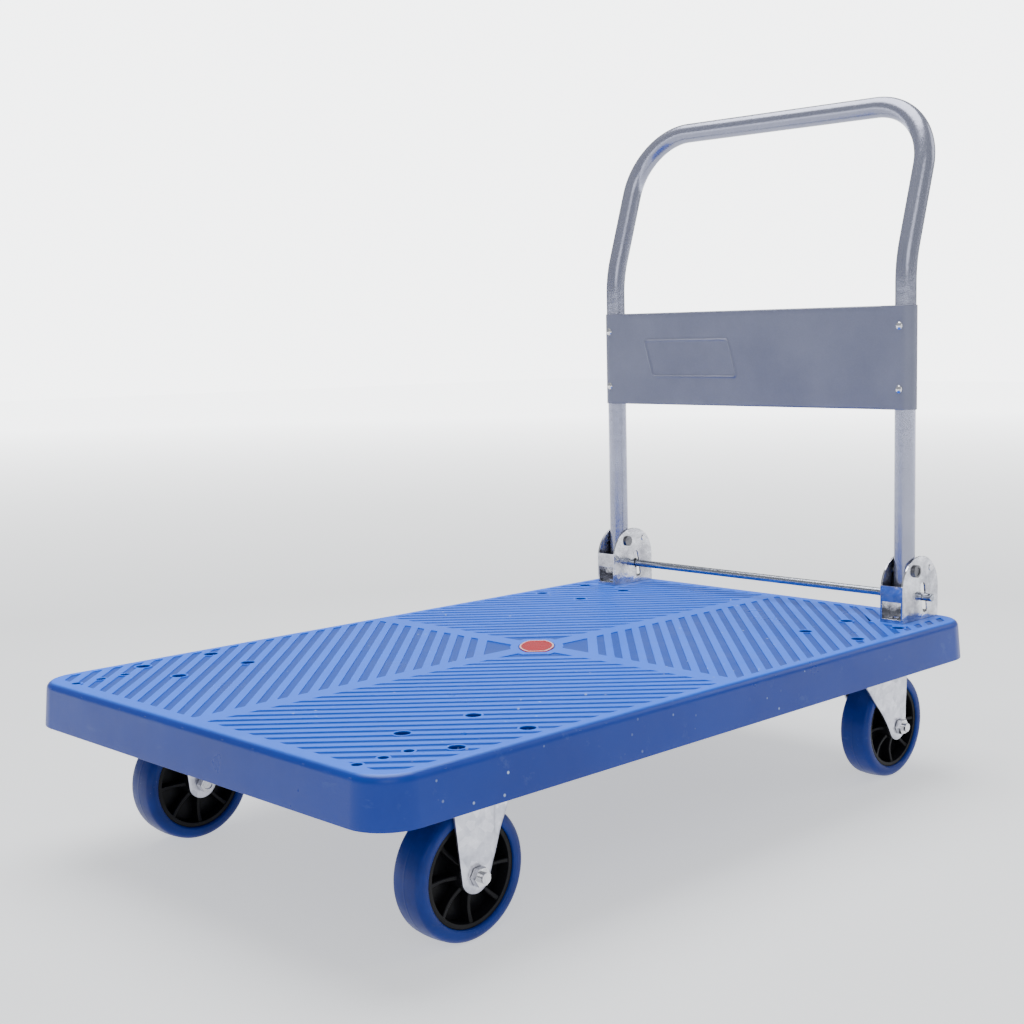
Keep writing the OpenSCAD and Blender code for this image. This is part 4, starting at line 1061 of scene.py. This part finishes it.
# Stage: pale floor, soft lights, and the camera.
stage = {"reach": 14.0, "glowNear": 1.6, "glowFar": 9.0, "glowLow": 0.82, "glowHigh": 4.6, "fill": 0.5,
         "backdrop": 5.2}
lamps = (("top", (0.2, 0.5, 3.0), 150.0, 3.0), ("key", (-1.9, -2.2, 1.9), 22.0, 1.8),
         ("side", (2.4, -1.4, 1.8), 16.0, 1.8))


def buildStage():
    mesh = bpy.data.meshes.new("floor")
    reach = stage["reach"]
    corners = [(sx * reach, sy * reach, 0) for sx, sy in ((-1, -1), (1, -1), (1, 1), (-1, 1))]
    mesh.from_pydata(corners, [], [(0, 1, 2, 3)])
    floor = bpy.data.objects.new("floor", mesh)
    bpy.context.scene.collection.objects.link(floor)
    material, tree, shader, place = startMaterial("floorPale")
    clouds = spreadOf(tree, noiseOf(tree, place, 1.3, 4.0), 0.3, 0.7)
    tone = mixOf(tree, clouds, (0.47, 0.48, 0.49), (0.5, 0.51, 0.52))
    tree.links.new(tone, shader.inputs["Base Color"])
    shader.inputs["Roughness"].default_value = 0.6
    # The floor glows a little, and more and more far out, where it meets the pale world.
    away = tree.nodes.new("ShaderNodeVectorMath")
    away.operation = "LENGTH"
    tree.links.new(place, away.inputs[0])
    shader.inputs["Emission Color"].default_value = (0.97, 0.985, 1.0, 1)
    glow = spreadOf(tree, away.outputs["Value"], stage["glowNear"], stage["glowFar"], stage["glowLow"],
                    stage["glowHigh"])
    tree.links.new(glow, shader.inputs["Emission Strength"])
    mesh.materials.append(material)
    world = bpy.data.worlds.new("pale")
    bpy.context.scene.world = world
    world.use_nodes = True
    tree = world.node_tree
    back = tree.nodes["Background"]
    back.inputs["Color"].default_value = (0.93, 0.96, 1.0, 1)
    back.inputs["Strength"].default_value = stage["fill"]
    seen = tree.nodes.new("ShaderNodeBackground")
    seen.inputs["Color"].default_value = (0.97, 0.985, 1.0, 1)
    seen.inputs["Strength"].default_value = stage["backdrop"]
    choice, rays = tree.nodes.new("ShaderNodeMixShader"), tree.nodes.new("ShaderNodeLightPath")
    tree.links.new(rays.outputs["Is Camera Ray"], choice.inputs[0])
    tree.links.new(back.outputs[0], choice.inputs[1])
    tree.links.new(seen.outputs[0], choice.inputs[2])
    tree.links.new(choice.outputs[0], tree.nodes["World Output"].inputs["Surface"])
    for name, at, power, size in lamps:
        data = bpy.data.lights.new(name, "AREA")
        data.energy = power
        data.shape = "DISK"
        data.size = size
        lamp = bpy.data.objects.new(name, data)
        bpy.context.scene.collection.objects.link(lamp)
        lamp.location = at
        lamp.rotation_mode = "QUATERNION"
        lamp.rotation_quaternion = (Vector((0, 0, 0.25)) - Vector(at)).to_track_quat("-Z", "Y")


view = {"lens": 53.58, "shift": -0.0977, "azimuth": 43.25, "pitch": 6.44, "roll": -0.93,
        "place": (-1.161, -1.211, 0.524)}


def buildCamera():
    data = bpy.data.cameras.new("camera")
    data.sensor_width = 36.0
    data.lens = view["lens"]
    data.shift_x = view["shift"]
    data.clip_start, data.clip_end = 0.05, 60.0
    camera = bpy.data.objects.new("camera", data)
    bpy.context.scene.collection.objects.link(camera)
    azimuth, pitch, roll = [math.radians(view[key]) for key in ("azimuth", "pitch", "roll")]
    level = math.cos(pitch)
    forward = Vector((math.cos(azimuth) * level, math.sin(azimuth) * level, -math.sin(pitch)))
    right = Vector((math.sin(azimuth), -math.cos(azimuth), 0.0))
    up = right.cross(forward)
    across = right * math.cos(roll) + up * math.sin(roll)
    upright = across.cross(forward)
    turn = Matrix((across, upright, -forward)).transposed()
    camera.matrix_world = Matrix.Translation(view["place"]) @ turn.to_4x4()
    bpy.context.scene.camera = camera


buildStage()
buildCamera()
print("stage: studio")
